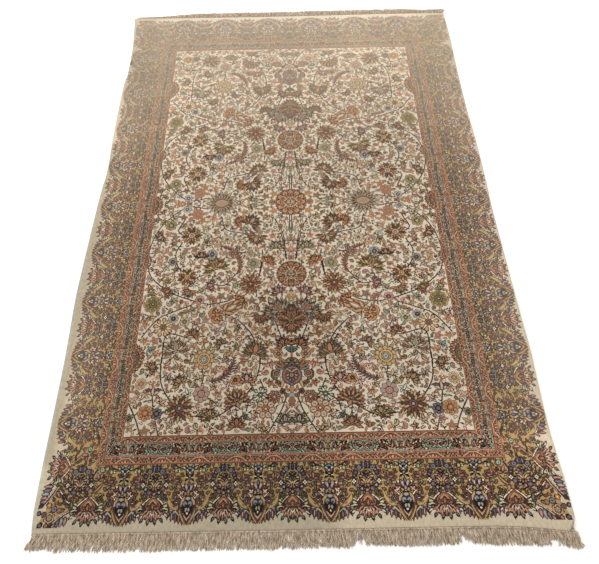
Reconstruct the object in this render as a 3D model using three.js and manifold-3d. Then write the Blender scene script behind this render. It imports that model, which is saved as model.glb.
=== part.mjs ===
// A hand-knotted silk rug, 1.22 by 1.83 m of pile, lying flat on the floor.
// The knotted body is one slab of pile on its woven ground. At each end a narrow flat-woven
// strip carries the warp fringe. Lengths are in millimetres; +Z is up, +Y runs to the far end,
// and the origin is on the floor under the middle of the rug.

import * as THREE from 'three';
import { mergeVertices } from 'three/addons/utils/BufferGeometryUtils.js';
import Module from 'manifold-3d';

// Driving dimensions of the knotted body
const GROUND_THICKNESS = 2.0;      // silk warps and wefts under the pile
const PILE_HEIGHT = 5.0;           // clipped silk pile
const RIM_ROUND = 1.6;             // the clipped pile leans out and rounds over at its rim
const RIM_STEPS = 2;

// Driving dimensions of the two ends
const END_GAP = 0.35;              // parting between the pile's edge and the flat-woven strip
const STRIP_WIDTH = 6.0;           // flat weave with its row of fringe knots
const STRAND_WIDTH = 3.8;          // one knotted bundle of warps, spread where it lies
const STRAND_CREST = 1.8;          // width of its top
const STRAND_THICKNESS = 2.4;      // the flat-woven strip is as thick
const STRAND_STRAIGHT = 0.35;      // share of its length before a strand turns aside
const STRAND_STEPS = 3;
const STRANDS_PER_LOCK = 5;        // neighbours whose tips draw together
const LOCK_PULL = 0.18;            // share of the way that a tip moves to its lock's middle
const LENGTH_SPREAD = 0.12;        // uneven cut, as a share of the strand's length
const END_MARGIN = 4.0;            // from the rug's corner to the middle of its first strand

const LONG_SIDE_STEPS = 32;
const SHORT_SIDE_STEPS = 20;

// How a box geometry counts its faces: two triangles each, sides in the order +X -X +Y -Y +Z -Z
const FACE_CORNERS = 6;
const OUTER_SIDE = 2;
const ROOT_SIDE = 3;

// The outline of the pile, which wavers by up to 13 mm as such a rug does.
const LEFT_SIDE = [
  { x: -624, y: 916 },
  { x: -617, y: 865 },
  { x: -605, y: 724 },
  { x: -601, y: 657 },
  { x: -603, y: 593 },
  { x: -611, y: 530 },
  { x: -610, y: 298 },
  { x: -605, y: 142 },
  { x: -612, y: 45 },
  { x: -619, y: -215 },
  { x: -620, y: -330 },
  { x: -614, y: -505 },
  { x: -613, y: -825 },
  { x: -606, y: -905 },
];
const RIGHT_SIDE = [
  { x: 614, y: -923 },
  { x: 613, y: -823 },
  { x: 605, y: -685 },
  { x: 608, y: -498 },
  { x: 605, y: -395 },
  { x: 600, y: -162 },
  { x: 596, y: -32 },
  { x: 600, y: 61 },
  { x: 599, y: 265 },
  { x: 592, y: 376 },
  { x: 591, y: 500 },
  { x: 597, y: 755 },
  { x: 594, y: 909 },
];
const NEAR_EDGE = [
  { x: -606, y: -905 },
  { x: -300, y: -906 },
  { x: 60, y: -907 },
  { x: 355, y: -907 },
  { x: 490, y: -910 },
  { x: 614, y: -923 },
];
const FAR_EDGE = [
  { x: -624, y: 916 },
  { x: -504, y: 911 },
  { x: -300, y: 909 },
  { x: 0, y: 908 },
  { x: 345, y: 911 },
  { x: 594, y: 909 },
];

// How the fringe lies along each end: the turn of the strands towards +X, in degrees, and
// their length past the strip. The far left strands are short and the rest are combed out.
const NEAR_FRINGE = {
  name: 'fringe_near',
  edge: NEAR_EDGE,
  outward: -1,
  strands: 132,
  lie: [
    { x: -606, turn: -42, length: 34 },
    { x: -500, turn: -40, length: 38 },
    { x: -400, turn: -34, length: 38 },
    { x: -300, turn: -14, length: 37 },
    { x: -150, turn: 6, length: 37 },
    { x: -70, turn: 2, length: 38 },
    { x: 0, turn: 30, length: 38 },
    { x: 60, turn: 24, length: 37 },
    { x: 110, turn: 2, length: 36 },
    { x: 124, turn: -4, length: 34 },
    { x: 146, turn: 16, length: 33 },
    { x: 180, turn: 20, length: 35 },
    { x: 240, turn: 4, length: 37 },
    { x: 300, turn: 26, length: 37 },
    { x: 345, turn: 14, length: 33 },
    { x: 368, turn: 24, length: 34 },
    { x: 430, turn: 12, length: 38 },
    { x: 480, turn: 24, length: 38 },
    { x: 540, turn: 14, length: 34 },
    { x: 614, turn: 40, length: 36 },
  ],
};
const FAR_FRINGE = {
  name: 'fringe_far',
  edge: FAR_EDGE,
  outward: 1,
  strands: 128,
  lie: [
    { x: -624, turn: -10, length: 7 },
    { x: -560, turn: -14, length: 12 },
    { x: -480, turn: -8, length: 22 },
    { x: -400, turn: 4, length: 34 },
    { x: -250, turn: 12, length: 37 },
    { x: -60, turn: -10, length: 36 },
    { x: 120, turn: 8, length: 38 },
    { x: 300, turn: -8, length: 37 },
    { x: 430, turn: 6, length: 36 },
    { x: 520, turn: -6, length: 30 },
    { x: 594, turn: 12, length: 33 },
  ],
};

const wasm = await Module();
wasm.setup();

// A closed mesh as a solid that can be joined and cut.
function solidOf(geometry) {
  geometry.deleteAttribute('normal');
  geometry.deleteAttribute('uv');
  const merged = mergeVertices(geometry, 1e-5);
  return new wasm.Manifold(new wasm.Mesh({
    numProp: 3,
    vertProperties: new Float32Array(merged.attributes.position.array),
    triVerts: new Uint32Array(merged.index.array),
  }));
}

// A joined or cut solid as a named mesh of the rug.
function meshOf(name, solid, material) {
  const result = solid.getMesh();
  const geometry = new THREE.BufferGeometry();
  geometry.setAttribute('position', new THREE.BufferAttribute(result.vertProperties, 3));
  geometry.setIndex(new THREE.BufferAttribute(result.triVerts, 1));
  geometry.computeVertexNormals();
  const mesh = new THREE.Mesh(geometry, material);
  mesh.name = name;
  return mesh;
}

// A smooth line through the rows of one side's table.
function smoothLine(rows, steps) {
  const curve = new THREE.SplineCurve(rows.map(({ x, y }) => new THREE.Vector2(x, y)));
  return curve.getPoints(steps);
}

// The value of one column at x, straight between the two nearest rows.
function valueAt(rows, x, column) {
  const next = rows.findIndex((row, index) => index > 0 && row.x >= x);
  const high = rows[next < 0 ? rows.length - 1 : next];
  const low = rows[next < 0 ? rows.length - 2 : next - 1];
  return THREE.MathUtils.mapLinear(x, low.x, high.x, low[column], high[column]);
}

// A repeatable share from 0 to 1 for the uneven cut of strand number n.
function unevenness(n) {
  const wave = Math.sin(n * 12.9898) * 43758.5453;
  return wave - Math.floor(wave);
}

// The knotted body: the outline extruded to the full height with a rounded rim, and cut off
// square at the floor.
function pileBody() {
  const height = GROUND_THICKNESS + PILE_HEIGHT;
  const outline = [
    ...smoothLine(NEAR_EDGE, SHORT_SIDE_STEPS),
    ...smoothLine(RIGHT_SIDE, LONG_SIDE_STEPS).slice(1),
    ...smoothLine(FAR_EDGE, SHORT_SIDE_STEPS).reverse().slice(1),
    ...smoothLine(LEFT_SIDE, LONG_SIDE_STEPS).slice(1, -1),
  ];
  const slab = new THREE.ExtrudeGeometry(new THREE.Shape(outline), {
    depth: height - RIM_ROUND,
    bevelEnabled: true,
    bevelThickness: RIM_ROUND,
    bevelSize: RIM_ROUND,
    bevelOffset: -RIM_ROUND,
    bevelSegments: RIM_STEPS,
  });
  const cutter = new THREE.BoxGeometry(1400, 2000, 2 * RIM_ROUND);
  cutter.translate(0, 0, -RIM_ROUND);
  return solidOf(slab).subtract(solidOf(cutter));
}

// A box whose three parts of a side, each from 0 to 1, are carried to a place by a function.
// The faces that skip() picks, by their group and number in the box, are left open.
function carriedBox(widthSteps, lengthSteps, carry, skip) {
  const box = new THREE.BoxGeometry(1, 1, 1, widthSteps, lengthSteps, 1);
  const { position } = box.attributes;
  const places = [];
  for (let index = 0; index < position.count; index += 1) {
    const shares = [position.getX(index), position.getY(index), position.getZ(index)]
      .map((value) => value + 0.5);
    places.push(carry(...shares));
  }
  const kept = [];
  box.groups.forEach(({ start, count }, side) => {
    for (let corner = 0; corner < count; corner += 1) {
      const face = Math.floor(corner / FACE_CORNERS);
      if (!skip(side, face)) kept.push(places[box.index.getX(start + corner)]);
    }
  });
  return kept;
}

// The strip: along its length it steps from strand to strand, so each strand has its own
// face of the outer edge to grow from. That face is left open.
function stripCorners(end) {
  const { outward } = end;
  const steps = 2 * end.strands + 1;
  const first = end.line[0].x;
  const last = end.line[end.line.length - 1].x;
  const carry = (along, across, up) => {
    const step = Math.round(along * steps);
    const half = THREE.MathUtils.lerp(STRAND_WIDTH, STRAND_CREST, up) / 2;
    const strandNumber = Math.floor((step - 1) / 2);
    let x = rootAt(end, strandNumber) + (step % 2 === 1 ? -half : half);
    if (step === 0) x = first;
    if (step === steps) x = last;
    const y = valueAt(end.line, x, 'y') + outward * (END_GAP + across * STRIP_WIDTH);
    return new THREE.Vector3(x, y, up * STRAND_THICKNESS);
  };
  return carriedBox(steps, 1, carry, (side, face) => side === OUTER_SIDE && face % 2 === 1);
}

// One strand: straight out from the strip, then round to the side that it is combed to. Its
// width is set off square from the middle line, and its crest is narrower than its foot.
function strandCorners(end, number) {
  const { lie, outward } = end;
  const rootX = rootAt(end, number);
  const place = number % STRANDS_PER_LOCK - (STRANDS_PER_LOCK - 1) / 2;
  const turn = THREE.MathUtils.degToRad(valueAt(lie, rootX, 'turn'));
  const length = valueAt(lie, rootX, 'length') * (1 - LENGTH_SPREAD * unevenness(number));
  const stripEdge = (x) => valueAt(end.line, x, 'y') + outward * (END_GAP + STRIP_WIDTH);
  const middle = new THREE.QuadraticBezierCurve(
    new THREE.Vector2(rootX, stripEdge(rootX)),
    new THREE.Vector2(rootX, stripEdge(rootX) + outward * length * STRAND_STRAIGHT),
    new THREE.Vector2(
      rootX - place * end.pitch * LOCK_PULL + length * Math.sin(turn),
      stripEdge(rootX) + outward * length * Math.cos(turn),
    ),
  );
  const carry = (across, along, up) => {
    const half = THREE.MathUtils.lerp(STRAND_WIDTH, STRAND_CREST, up) / 2;
    const offset = (2 * across - 1) * half;
    const z = up * STRAND_THICKNESS;
    if (along === 0) return new THREE.Vector3(rootX + offset, stripEdge(rootX + offset), z);
    const point = middle.getPoint(along);
    const forward = middle.getTangent(along).multiplyScalar(outward);
    return new THREE.Vector3(point.x + forward.y * offset, point.y - forward.x * offset, z);
  };
  return carriedBox(1, STRAND_STEPS, carry, (side) => side === ROOT_SIDE);
}

// The middle of strand number n where it leaves the strip.
function rootAt(end, number) {
  return end.line[0].x + END_MARGIN + number * end.pitch;
}

// One end's strip with all its strands as one closed skin. A box carried to the near end is
// turned inside out by the way, so there its faces are wound back.
function fringe(end) {
  end.line = smoothLine(end.edge, SHORT_SIDE_STEPS);
  const span = end.line[end.line.length - 1].x - end.line[0].x;
  end.pitch = (span - 2 * END_MARGIN) / (end.strands - 1);
  const corners = stripCorners(end);
  for (let number = 0; number < end.strands; number += 1) {
    corners.push(...strandCorners(end, number));
  }
  const geometry = new THREE.BufferGeometry().setFromPoints(corners);
  const order = corners.map((corner, index) => index);
  if (end.outward < 0) order.reverse();
  geometry.setIndex(order);
  return solidOf(geometry);
}

// Silk pile: a soft gold-beige seen as a whole, with a low sheen
const pileSilk = new THREE.MeshStandardMaterial({ color: 0x9a8468, roughness: 0.62, metalness: 0 });
// Undyed warp silk of the fringe: pale beige
const warpSilk = new THREE.MeshStandardMaterial({ color: 0xc3b294, roughness: 0.7, metalness: 0 });

const rug = new THREE.Group();
rug.add(meshOf('pile_body', pileBody(), pileSilk));
for (const end of [NEAR_FRINGE, FAR_FRINGE]) {
  rug.add(meshOf(end.name, fringe(end), warpSilk));
}

export default rug;
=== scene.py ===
import bpy
import numpy as np
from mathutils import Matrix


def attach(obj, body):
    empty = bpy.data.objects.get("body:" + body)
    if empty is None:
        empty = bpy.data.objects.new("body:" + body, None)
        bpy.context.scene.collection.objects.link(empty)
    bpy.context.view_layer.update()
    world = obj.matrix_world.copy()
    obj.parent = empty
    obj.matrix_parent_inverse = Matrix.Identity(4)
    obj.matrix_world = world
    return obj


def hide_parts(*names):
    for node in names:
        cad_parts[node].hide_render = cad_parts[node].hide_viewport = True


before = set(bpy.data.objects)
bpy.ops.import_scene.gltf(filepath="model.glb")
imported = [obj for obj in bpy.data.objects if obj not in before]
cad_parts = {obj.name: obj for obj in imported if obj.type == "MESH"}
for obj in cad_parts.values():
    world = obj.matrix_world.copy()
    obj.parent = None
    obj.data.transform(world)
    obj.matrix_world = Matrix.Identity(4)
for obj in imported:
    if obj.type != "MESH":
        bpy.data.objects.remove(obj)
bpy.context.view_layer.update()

# The knotting
KNOT = 1.5625            # mm from knot to knot, sixteen knots to the inch
QUAD = 4                 # knots across one square of the pile's mesh
HALF_WIDTH = 600.0       # mm of design from the middle line to the end of the outermost motif
HALF_LENGTH = 893.75
PEN = 2.15               # mm, an outline is one knot wide or a little more
EVERYWHERE = np.s_[:, :]

# The dyed yarns, as sRGB
YARNS = dict(
    ivory="#bbb09d", cream="#a89d87", white="#c9bba2", straw="#ae9363", gold="#8e774c", ochre="#998155",
    tan="#937356", orange="#a26945", salmon="#89644f", rose="#9b7569", rust="#7c4e3b", brick="#5f3b2f",
    wine="#4a2925", brown="#553d2e", umber="#32231a", black="#17100d", navy="#2c2930", slate="#605f66",
    grey="#8b8778", mauve="#5b4548", plum="#412f34", sage="#71745a", olive="#61613e", moss="#40432b",
    teal="#728a78", sea="#4f5d4e", fawn="#a28a68", sienna="#8a5c43", apricot="#b0865a", shell="#b29186",
    celery="#a4a684", mist="#a5a59c")
NAMES = list(YARNS)
# The lighter yarn that a wide leaf takes inside its first row of knots
INNER = dict(mauve="rose", plum="slate", brown="tan", brick="salmon", rust="orange", sage="celery",
             sienna="apricot", moss="sage", navy="grey", umber="rust", orange="apricot", slate="grey")


class Cartoon:
    """The weaver's full-size drawing of one quarter of the rug, a yarn number for each knot.

    along and out are the places in mm of its columns and rows. A drawing of the long side is the
    same quarter seen turned over its diagonal, so that one set of border motifs serves both. free
    says which knots this drawing may lay, and taken which are no longer bare ground.
    """

    def __init__(self, knots, along, out, free, taken):
        self.knots, self.along, self.out, self.free, self.taken = knots, along, out, free, taken

    def window(self, a, o, reach):
        """The knots within reach of a place, and how far each lies to its right and above it."""
        cols = slice(*np.searchsorted(self.along, (a - reach, a + reach)))
        rows = slice(*np.searchsorted(self.out, (o - reach, o + reach)))
        right, up = np.meshgrid(self.along[cols] - a, o - self.out[rows])
        return (rows, cols), right, up

    def lay(self, window, shape, yarn):
        """Gives the knots of a shape one yarn, where this drawing may be knotted."""
        shape = shape & self.free[window]
        self.knots[window][shape] = NAMES.index(yarn)
        self.taken[window] |= shape

    def band(self, start, end, yarn):
        """Gives all the knots between two places out from the middle one yarn."""
        self.lay((slice(*np.searchsorted(self.out, (start, end))), slice(None)), True, yarn)

    def blade(self, a, o, heading, length, width, fill, edge="umber", bend=0, belly=0.42, vein=None, pen=PEN):
        """A leaf on a straight or round midrib, with its outline.

        Half its width is a sine of the share of its length, moved so that it is widest at belly.
        heading 0 points up, 90 to the right. fill may name several yarns: each lies a knot further
        in than the one before.
        """
        window, right, up = self.window(a, o, length + width)
        h = np.radians(heading)
        s, aside = right * np.sin(h) + up * np.cos(h), right * np.cos(h) - up * np.sin(h)
        if bend:
            radius = length / np.radians(bend)
            off = radius - aside
            aside = abs(radius) - np.hypot(s, off)
            s = abs(radius) * np.arctan2(s, off * np.sign(radius))
        shift = np.log(0.5) / np.log(belly)

        def within(grow):
            t = (s + grow) / (length + 2 * grow)
            half = (width / 2 + grow) * np.sin(np.pi * np.clip(t, 0, 1) ** shift) ** 0.8
            return (t > 0) & (t < 1) & (abs(aside) < half)

        if edge:
            self.lay(window, within(pen), edge)
        for depth, yarn in enumerate(fill.split()):
            self.lay(window, within(-depth * KNOT), yarn)
        if vein:
            self.lay(window, (abs(aside) < KNOT * 0.6) & (s > length * 0.12) & (s < length * 0.8), vein)

    def bloom(self, a, o, rings, petals=8, turn=0):
        """A round flower from the outside in: rings are (radius, yarn, depth), and the edge of a
        ring falls back by its depth between two petals."""
        window, right, up = self.window(a, o, rings[0][0] + 2)
        r = np.hypot(right, up)
        lobe = abs(np.cos(petals / 2 * (np.arctan2(right, up) - np.radians(turn)))) ** 0.5
        for radius, yarn, depth in rings:
            self.lay(window, r < radius * (1 - depth * (1 - lobe)), yarn)

    def line(self, points, width, yarn):
        """A stem through its points: a smooth curve, and every knot nearer than half its width."""
        p = np.asarray(points, float)
        ends = np.vstack([2 * p[0] - p[1], p, 2 * p[-1] - p[-2]])
        t = np.linspace(0, 1, 9)[:, None]
        for k in range(len(p) - 1):
            p0, p1, p2, p3 = ends[k:k + 4]
            curve = 0.5 * (2 * p1 + (p2 - p0) * t + (2 * p0 - 5 * p1 + 4 * p2 - p3) * t**2
                           + (3 * p1 - p0 - 3 * p2 + p3) * t**3)
            for (a, o), (a2, o2) in zip(curve[:-1], curve[1:]):
                span = np.hypot(a2 - a, o2 - o) + 1e-9
                window, right, up = self.window((a + a2) / 2, (o + o2) / 2, span / 2 + width)
                da, do = (a2 - a) / 2, (o - o2) / 2
                s = np.clip((right * da + up * do) / (da**2 + do**2 + 1e-9), -1, 1)
                self.lay(window, np.hypot(right - s * da, up - s * do) < width / 2, yarn)

    def fan(self, a, o, heading, count, spread, length, width, fills, edge, base, **more):
        """Blades fanned about a heading, the outermost laid first and the middle one last."""
        turns = np.linspace(-spread, spread, count)
        for k in np.argsort(-abs(turns), kind="stable"):
            fill = fills[int(abs(k - (count - 1) / 2)) % len(fills)]
            turn = heading + turns[k]
            self.blade(*ahead(a, o, turn, base), turn, length, width, fill, edge, **more)


def ahead(a, o, heading, far):
    """The place that lies so far ahead of another."""
    h = np.radians(heading)
    return a + far * np.sin(h), o - far * np.cos(h)


def ring(a, o, count, radius, turn=0.0):
    """Places evenly round a circle, each with the heading that points outward there."""
    headings = turn + 360 / count * np.arange(count)
    return zip(*ahead(a, o, headings, radius), headings)


def read(text):
    """The rows of a table, parted by semicolons: what each row is, its numbers and its yarns."""
    rows = []
    for row in text.split(";"):
        kind, *rest = row.split()
        numbers = [float(word) for word in rest if word[-1].isdigit()]
        rows.append((kind, numbers, rest[len(numbers):]))
    return rows


# The layout, in mm of design from the middle of the rug
FIELD_SIDE, FIELD_END = 430.0, 696.0
# Where the inner guard, the teal stripe, the outer guard and the main border start, and where it ends
END_LINES = (696.0, 713.0, 743.0, 762.0, 893.0)
SIDE_LINES = (426.0, 443.0, 466.0, 485.0, 600.0)
BORDER, EDGE = END_LINES[3:]
FAN_ENDS, VASE_ENDS = (0, 166, 334, 487), (83, 251, 410)
FAN_SIDES, VASE_SIDES = (82, 242, 400, 560, 764), (0, 163, 322, 481, 658)
TEAL_SIDES = (82, 242, 400, 560, 720)
GUARD_UNIT = 92.0         # from the middle of one scroll of a guard stripe to the next
WREATH_DOWN = 38          # from the start of the main border to the middle of a wreath
CORNER_WREATH = (515, 797, 26)               # across, along and radius
CORNER_LEAVES = ((442, 592), (588, 880), (1100, 2))   # from where to where, and how many are tried
WIDE_LEAF = 4.2           # a leaf wider than this takes a lighter yarn inside
# How deep the gold ground is, then how wide, deep and steep its point below a vase is, and how wide
# and steep the arch over a fan
GOLD_DOWN = 88
POINT_HALF, POINT_DOWN, POINT_SLOPE = 41, 124, 0.7
ARCH_HALF, ARCH_SLOPE = 26, 0.8
# Where a small leaf may lie on the gold: how wide a place it looks at, how much of that may be taken
# already, and how much of it has to be gold
LEAF_LOOK, LEAF_TAKEN, LEAF_GOLD = 3.2, 0.12, 0.75

# Motifs of the borders, as rows of places in mm from the middle of the motif's top. Each row is
# drawn twice, once turned over to the left.
# leaf: across, down, heading, length, width, and bend if it has one; fill, and outline if not umber
# bud: across, down, radius, petals; yarns from the outline in
# stroke: width, and its points across and down; yarn
# The vase with two pale ovals and a dark lily in its heart, and ragged leaves and flowers about it
VASE = read("""
    leaf 12 12 40 9 5 sage black; leaf 6 9 18 8 5 slate black; bud 0 16 11 7 black slate black grey;
    bud 0 20 5 4 black rose white; leaf 4 17 40 7 3 mist black; bud 21 12 3 1 black rust;
    stroke 4.4 24 9 30 7 35 3 42 1 black; stroke 1.6 25 13 31 11 37 6 cream;
    bud 34 15 6.6 1 black sage celery; bud 40 14 4 1 black sage; bud 26 16 3.6 1 black white;
    leaf 2 30 60 13 6 -50 black bare; leaf 1 31 110 14 6 40 black bare; leaf 4 31 95 6 1.8 white bare;
    bud 0 33 4 4 black slate; leaf 36 36 -38 12 5 brick; leaf 37 36 45 12 5 mauve;
    leaf 36 38 2 15 6 brown; leaf 35 38 -80 11 4.6 mauve; leaf 38 40 85 11 4.6 brown;
    leaf 36 38 5 8 2.4 rust bare; leaf 34 44 200 11 4.6 plum; leaf 30 42 250 10 4.4 brick;
    leaf 36 46 150 10 4 sage; stroke 1.8 22 26 24 36 20 44 umber; leaf 22 32 60 8 4 brown;
    leaf 23 40 -60 8 4 mauve; leaf 40 56 40 10 4.6 brown; leaf 44 66 60 9 4.4 brick;
    stroke 2.2 38 53 33 59 38 64 32 73 black; leaf 0 60 0 21 8 plum black; leaf 3 60 24 18 7 mauve black;
    leaf 8 61 42 16 6 plum black; leaf 0 57 0 12 2.2 black bare; leaf 0 66 0 9 6 slate black;
    bud 15 48 4 3 umber white; bud 20 64 12 6 umber brick umber rust umber; leaf 4 56 10 11 2 mist bare;
    leaf 10 76 42 17 3 rose; leaf 14 77 46 16 2.8 white; leaf 19 77 50 14 2.8 sienna;
    bud 17 63 7 4 black brick umber; stroke 1.6 13 61 16 64 white; stroke 1.6 21 60 18 63 white;
    stroke 1.6 14 67 17 64 shell; stroke 1.6 20 67 18 65 white; bud 26 57 5.4 5 umber salmon brick;
    leaf 29 68 60 9 4 brick; bud 27 84 8 6 black mauve black white; leaf 30 76 10 7 4 sage;
    leaf 20 79 30 7 3 umber bare; leaf 34 84 50 7 3.4 umber bare; leaf 24 99 72 44 7.6 -66 ochre brown;
    leaf 31 94 60 8 3 brick bare; leaf 0 68 180 66 40 ochre; stroke 5.6 20 78 18 92 10 111 0 128 umber;
    stroke 1.8 21 78 19 92 11 111 0 129 brick; stroke 1.6 16 84 14 94 7 111 0 121 shell;
    leaf 0 77 180 38 25 black; bud 6 87 5.4 1 slate grey slate; leaf 2.4 95 170 9 4.4 grey bare;
    bud 0 107 2.2 1 white; leaf 0 97 0 15 3 black bare; leaf 1 92 70 9 3.4 -50 black bare;
    leaf 0 96 180 8 1.8 black bare; leaf 0 80 0 9 13 slate black; stroke 2.4 0 71 8 71 black;
    stroke 1.6 0 75 5 75 grey""")
# The pointed arch of leaves below a vase
ARCH = read("""
    leaf 44 100 172 19 5.4 mauve; leaf 35 102 176 21 5.4 brick; leaf 26 106 178 20 5.4 plum;
    leaf 18 110 180 18 5 brick; leaf 10 113 180 17 4.6 mauve; leaf 0 118 180 14 3 plum;
    leaf 40 98 170 15 3 plum; leaf 31 102 176 17 3 mauve; leaf 22 106 178 17 3 umber;
    leaf 35 106 176 12 2 shell bare; leaf 26 110 178 11 2 slate bare; leaf 43 104 172 10 2 slate bare;
    leaf 18 114 180 9 2 rose bare; leaf 42 90 130 16 7 mauve; leaf 34 94 150 15 8 plum;
    leaf 38 92 140 10 3 shell bare; leaf 26 97 150 14 7 slate; leaf 31 95 120 12 4 cream;
    stroke 5.6 30 95 18 108 1 129 umber; stroke 1.8 32 98 20 110 9 121 4 127 cream;
    stroke 1.8 28 94 15 108 0 125 rust; leaf 37 97 66 12 3.6 white; leaf 30 100 40 9 3 white""")
# The pale fan below a wreath
FAN = read("""
    bud 0 99 26 13 umber umber; leaf 7 118 168 14 8 black bare; leaf 20 115 146 14 8 black bare;
    leaf 30 108 122 13 8 black bare; leaf 7 118 168 9 4 sage bare; leaf 20 115 146 9 4 slate bare;
    leaf 30 108 122 8 4 mist bare; leaf 0 100 180 24 7 brick; leaf 4 102 160 22 7 mauve;
    leaf 7 100 140 22 7 sienna; leaf 9 98 120 22 7 mauve; leaf 10 96 102 20 6 plum;
    leaf 3 104 166 14 2.6 shell; leaf 7 101 150 15 2.6 cream; leaf 11 98 130 14 2.6 rose;
    leaf 13 94 112 13 2.6 shell; leaf 10 108 156 9 3 salmon bare; leaf 17 104 134 8 3 rose bare;
    stroke 1.8 0 95 4.4 101 0 110 white; leaf 0 97 180 9 4 rust brick;
    bud 34 100 7 5 umber sage celery umber; bud 28 103 4.4 4 black rust; bud 40 93 4 4 umber mauve;
    leaf 20 92 44 18 5 20 celery; leaf 22 94 66 18 5 20 cream; leaf 23 97 86 15 4.4 20 celery;
    leaf 26 88 55 12 1.8 20 umber bare; leaf 24 98 105 12 4 black bare; leaf 40 78 190 15 5.4 20 moss;
    leaf 5 60 66 34 6 -46 brown; leaf 22 70 55 13 4.6 -50 black bare; stroke 1.6 23 66 30 61 fawn;
    leaf 12 66 80 12 4 -30 gold; stroke 8 0 67 8 74 17 81 23 88 17 96 umber;
    stroke 1.8 0 66 8 73 17 80 24 87 white; stroke 1.8 0 72 7 78 14 85 17 93 salmon;
    leaf 0 100 0 27 24 umber bare; leaf 0 97 0 20 18 orange salmon; leaf 0 98 0 16 12 rust;
    leaf 5 98 40 12 5 brown; leaf 0 98 0 14 6 brick; leaf 9 97 60 9 4 rust; leaf 0 96 0 8 2 salmon bare;
    leaf 0 69 0 12 8 brick""")
# The dark lotus inside a wreath, and what lies between the wreath and the stripe
WREATH = read("""
    leaf 0 9 0 17 6 plum black; leaf 1 9 25 15 6 brown black; leaf 3 9 52 15 6 navy black;
    leaf 3 10 80 15 5 slate black; leaf 3 12 110 13 5 brick black; leaf 1 13 150 9 5 brown black;
    leaf 2 12 24 14 3.4 26 fawn; leaf 5 13 58 11 3 rose; leaf 0 12 0 13 4 black bare;
    leaf 0 11 0 8 2.4 fawn bare; bud 0 -11 4.4 4 black rust; leaf 6 -6 60 7 3 sage black;
    bud 9 15 2.8 1 black fawn; bud 28 8 6.4 4 black; bud 28 5 1.7 1 white; bud 28 11 1.7 1 white;
    bud 25 8 1.7 1 white; bud 31 8 1.7 1 white; bud 0 -28 9.4 6 black slate black mist;
    leaf 0 -22 0 13 4 plum black; bud 15 -22 7 5 black slate black; bud 24 -11 6.4 5 black plum slate""")
# One stretch of a guard stripe, about its middle line
GUARD = read("""
    stroke 4.6 0 -5.2 8 -4.6 14 -1.5 20 3 27 5 umber; stroke 2.2 0 -5.2 8 -4.6 14 -1.5 20 3 27 5 fawn;
    leaf 0 6.5 0 9 6 orange; leaf 6 6.5 20 7 3.4 rose; leaf 11 6.5 40 5 2.6 orange; bud 17 6 2.4 1 umber;
    leaf 12 -6.4 80 6 2.4 sienna; bud 26 -2 5 6 umber tan umber; leaf 19 -6 70 6 3 orange;
    leaf 33 -6 150 8 3.6 rose; leaf 34 6 20 8 3.4 sienna; stroke 2 31 4.6 37 1 41 -4 tan;
    leaf 41 6 10 7 3.2 orange; bud 46 -1 4.6 5 umber sage rust; leaf 40 -6 100 5 2.6 rust;
    leaf 24 6.4 60 5 2.2 umber bare""")
# The crossed rosette of the teal stripe, about its middle line
CROSS = read("""
    stroke 4.6 0 -11 15 -9 25 0 15 9 0 11 black; stroke 2 0 -11 15 -9 25 0 15 9 0 11 teal;
    stroke 4.2 0 0 10 -7 black; stroke 4.2 0 0 10 7 black; stroke 1.7 0 0 10 -7 shell;
    stroke 1.7 0 0 10 7 celery; leaf 0 -2 0 7 3.6 rust black; leaf 0 2 180 7 3.6 salmon black;
    leaf 7 0 90 9 3.6 brick black; bud 19 -6.4 2.2 1 salmon; bud 19 6.4 2.2 1 rust;
    stroke 3 71 -8 74 2 83 8 brick; stroke 1.6 74 -9 77 0 83 4 fawn; leaf 83 5 0 9 4 sienna black;
    bud 41 0 7 6 black brick black sienna; bud 20 -2 4.4 5 black sienna; bud 60 2 4.4 5 black rust;
    leaf 29 -2 50 7 3 sienna black; leaf 52 3 -40 7 3 rust black""")
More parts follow.
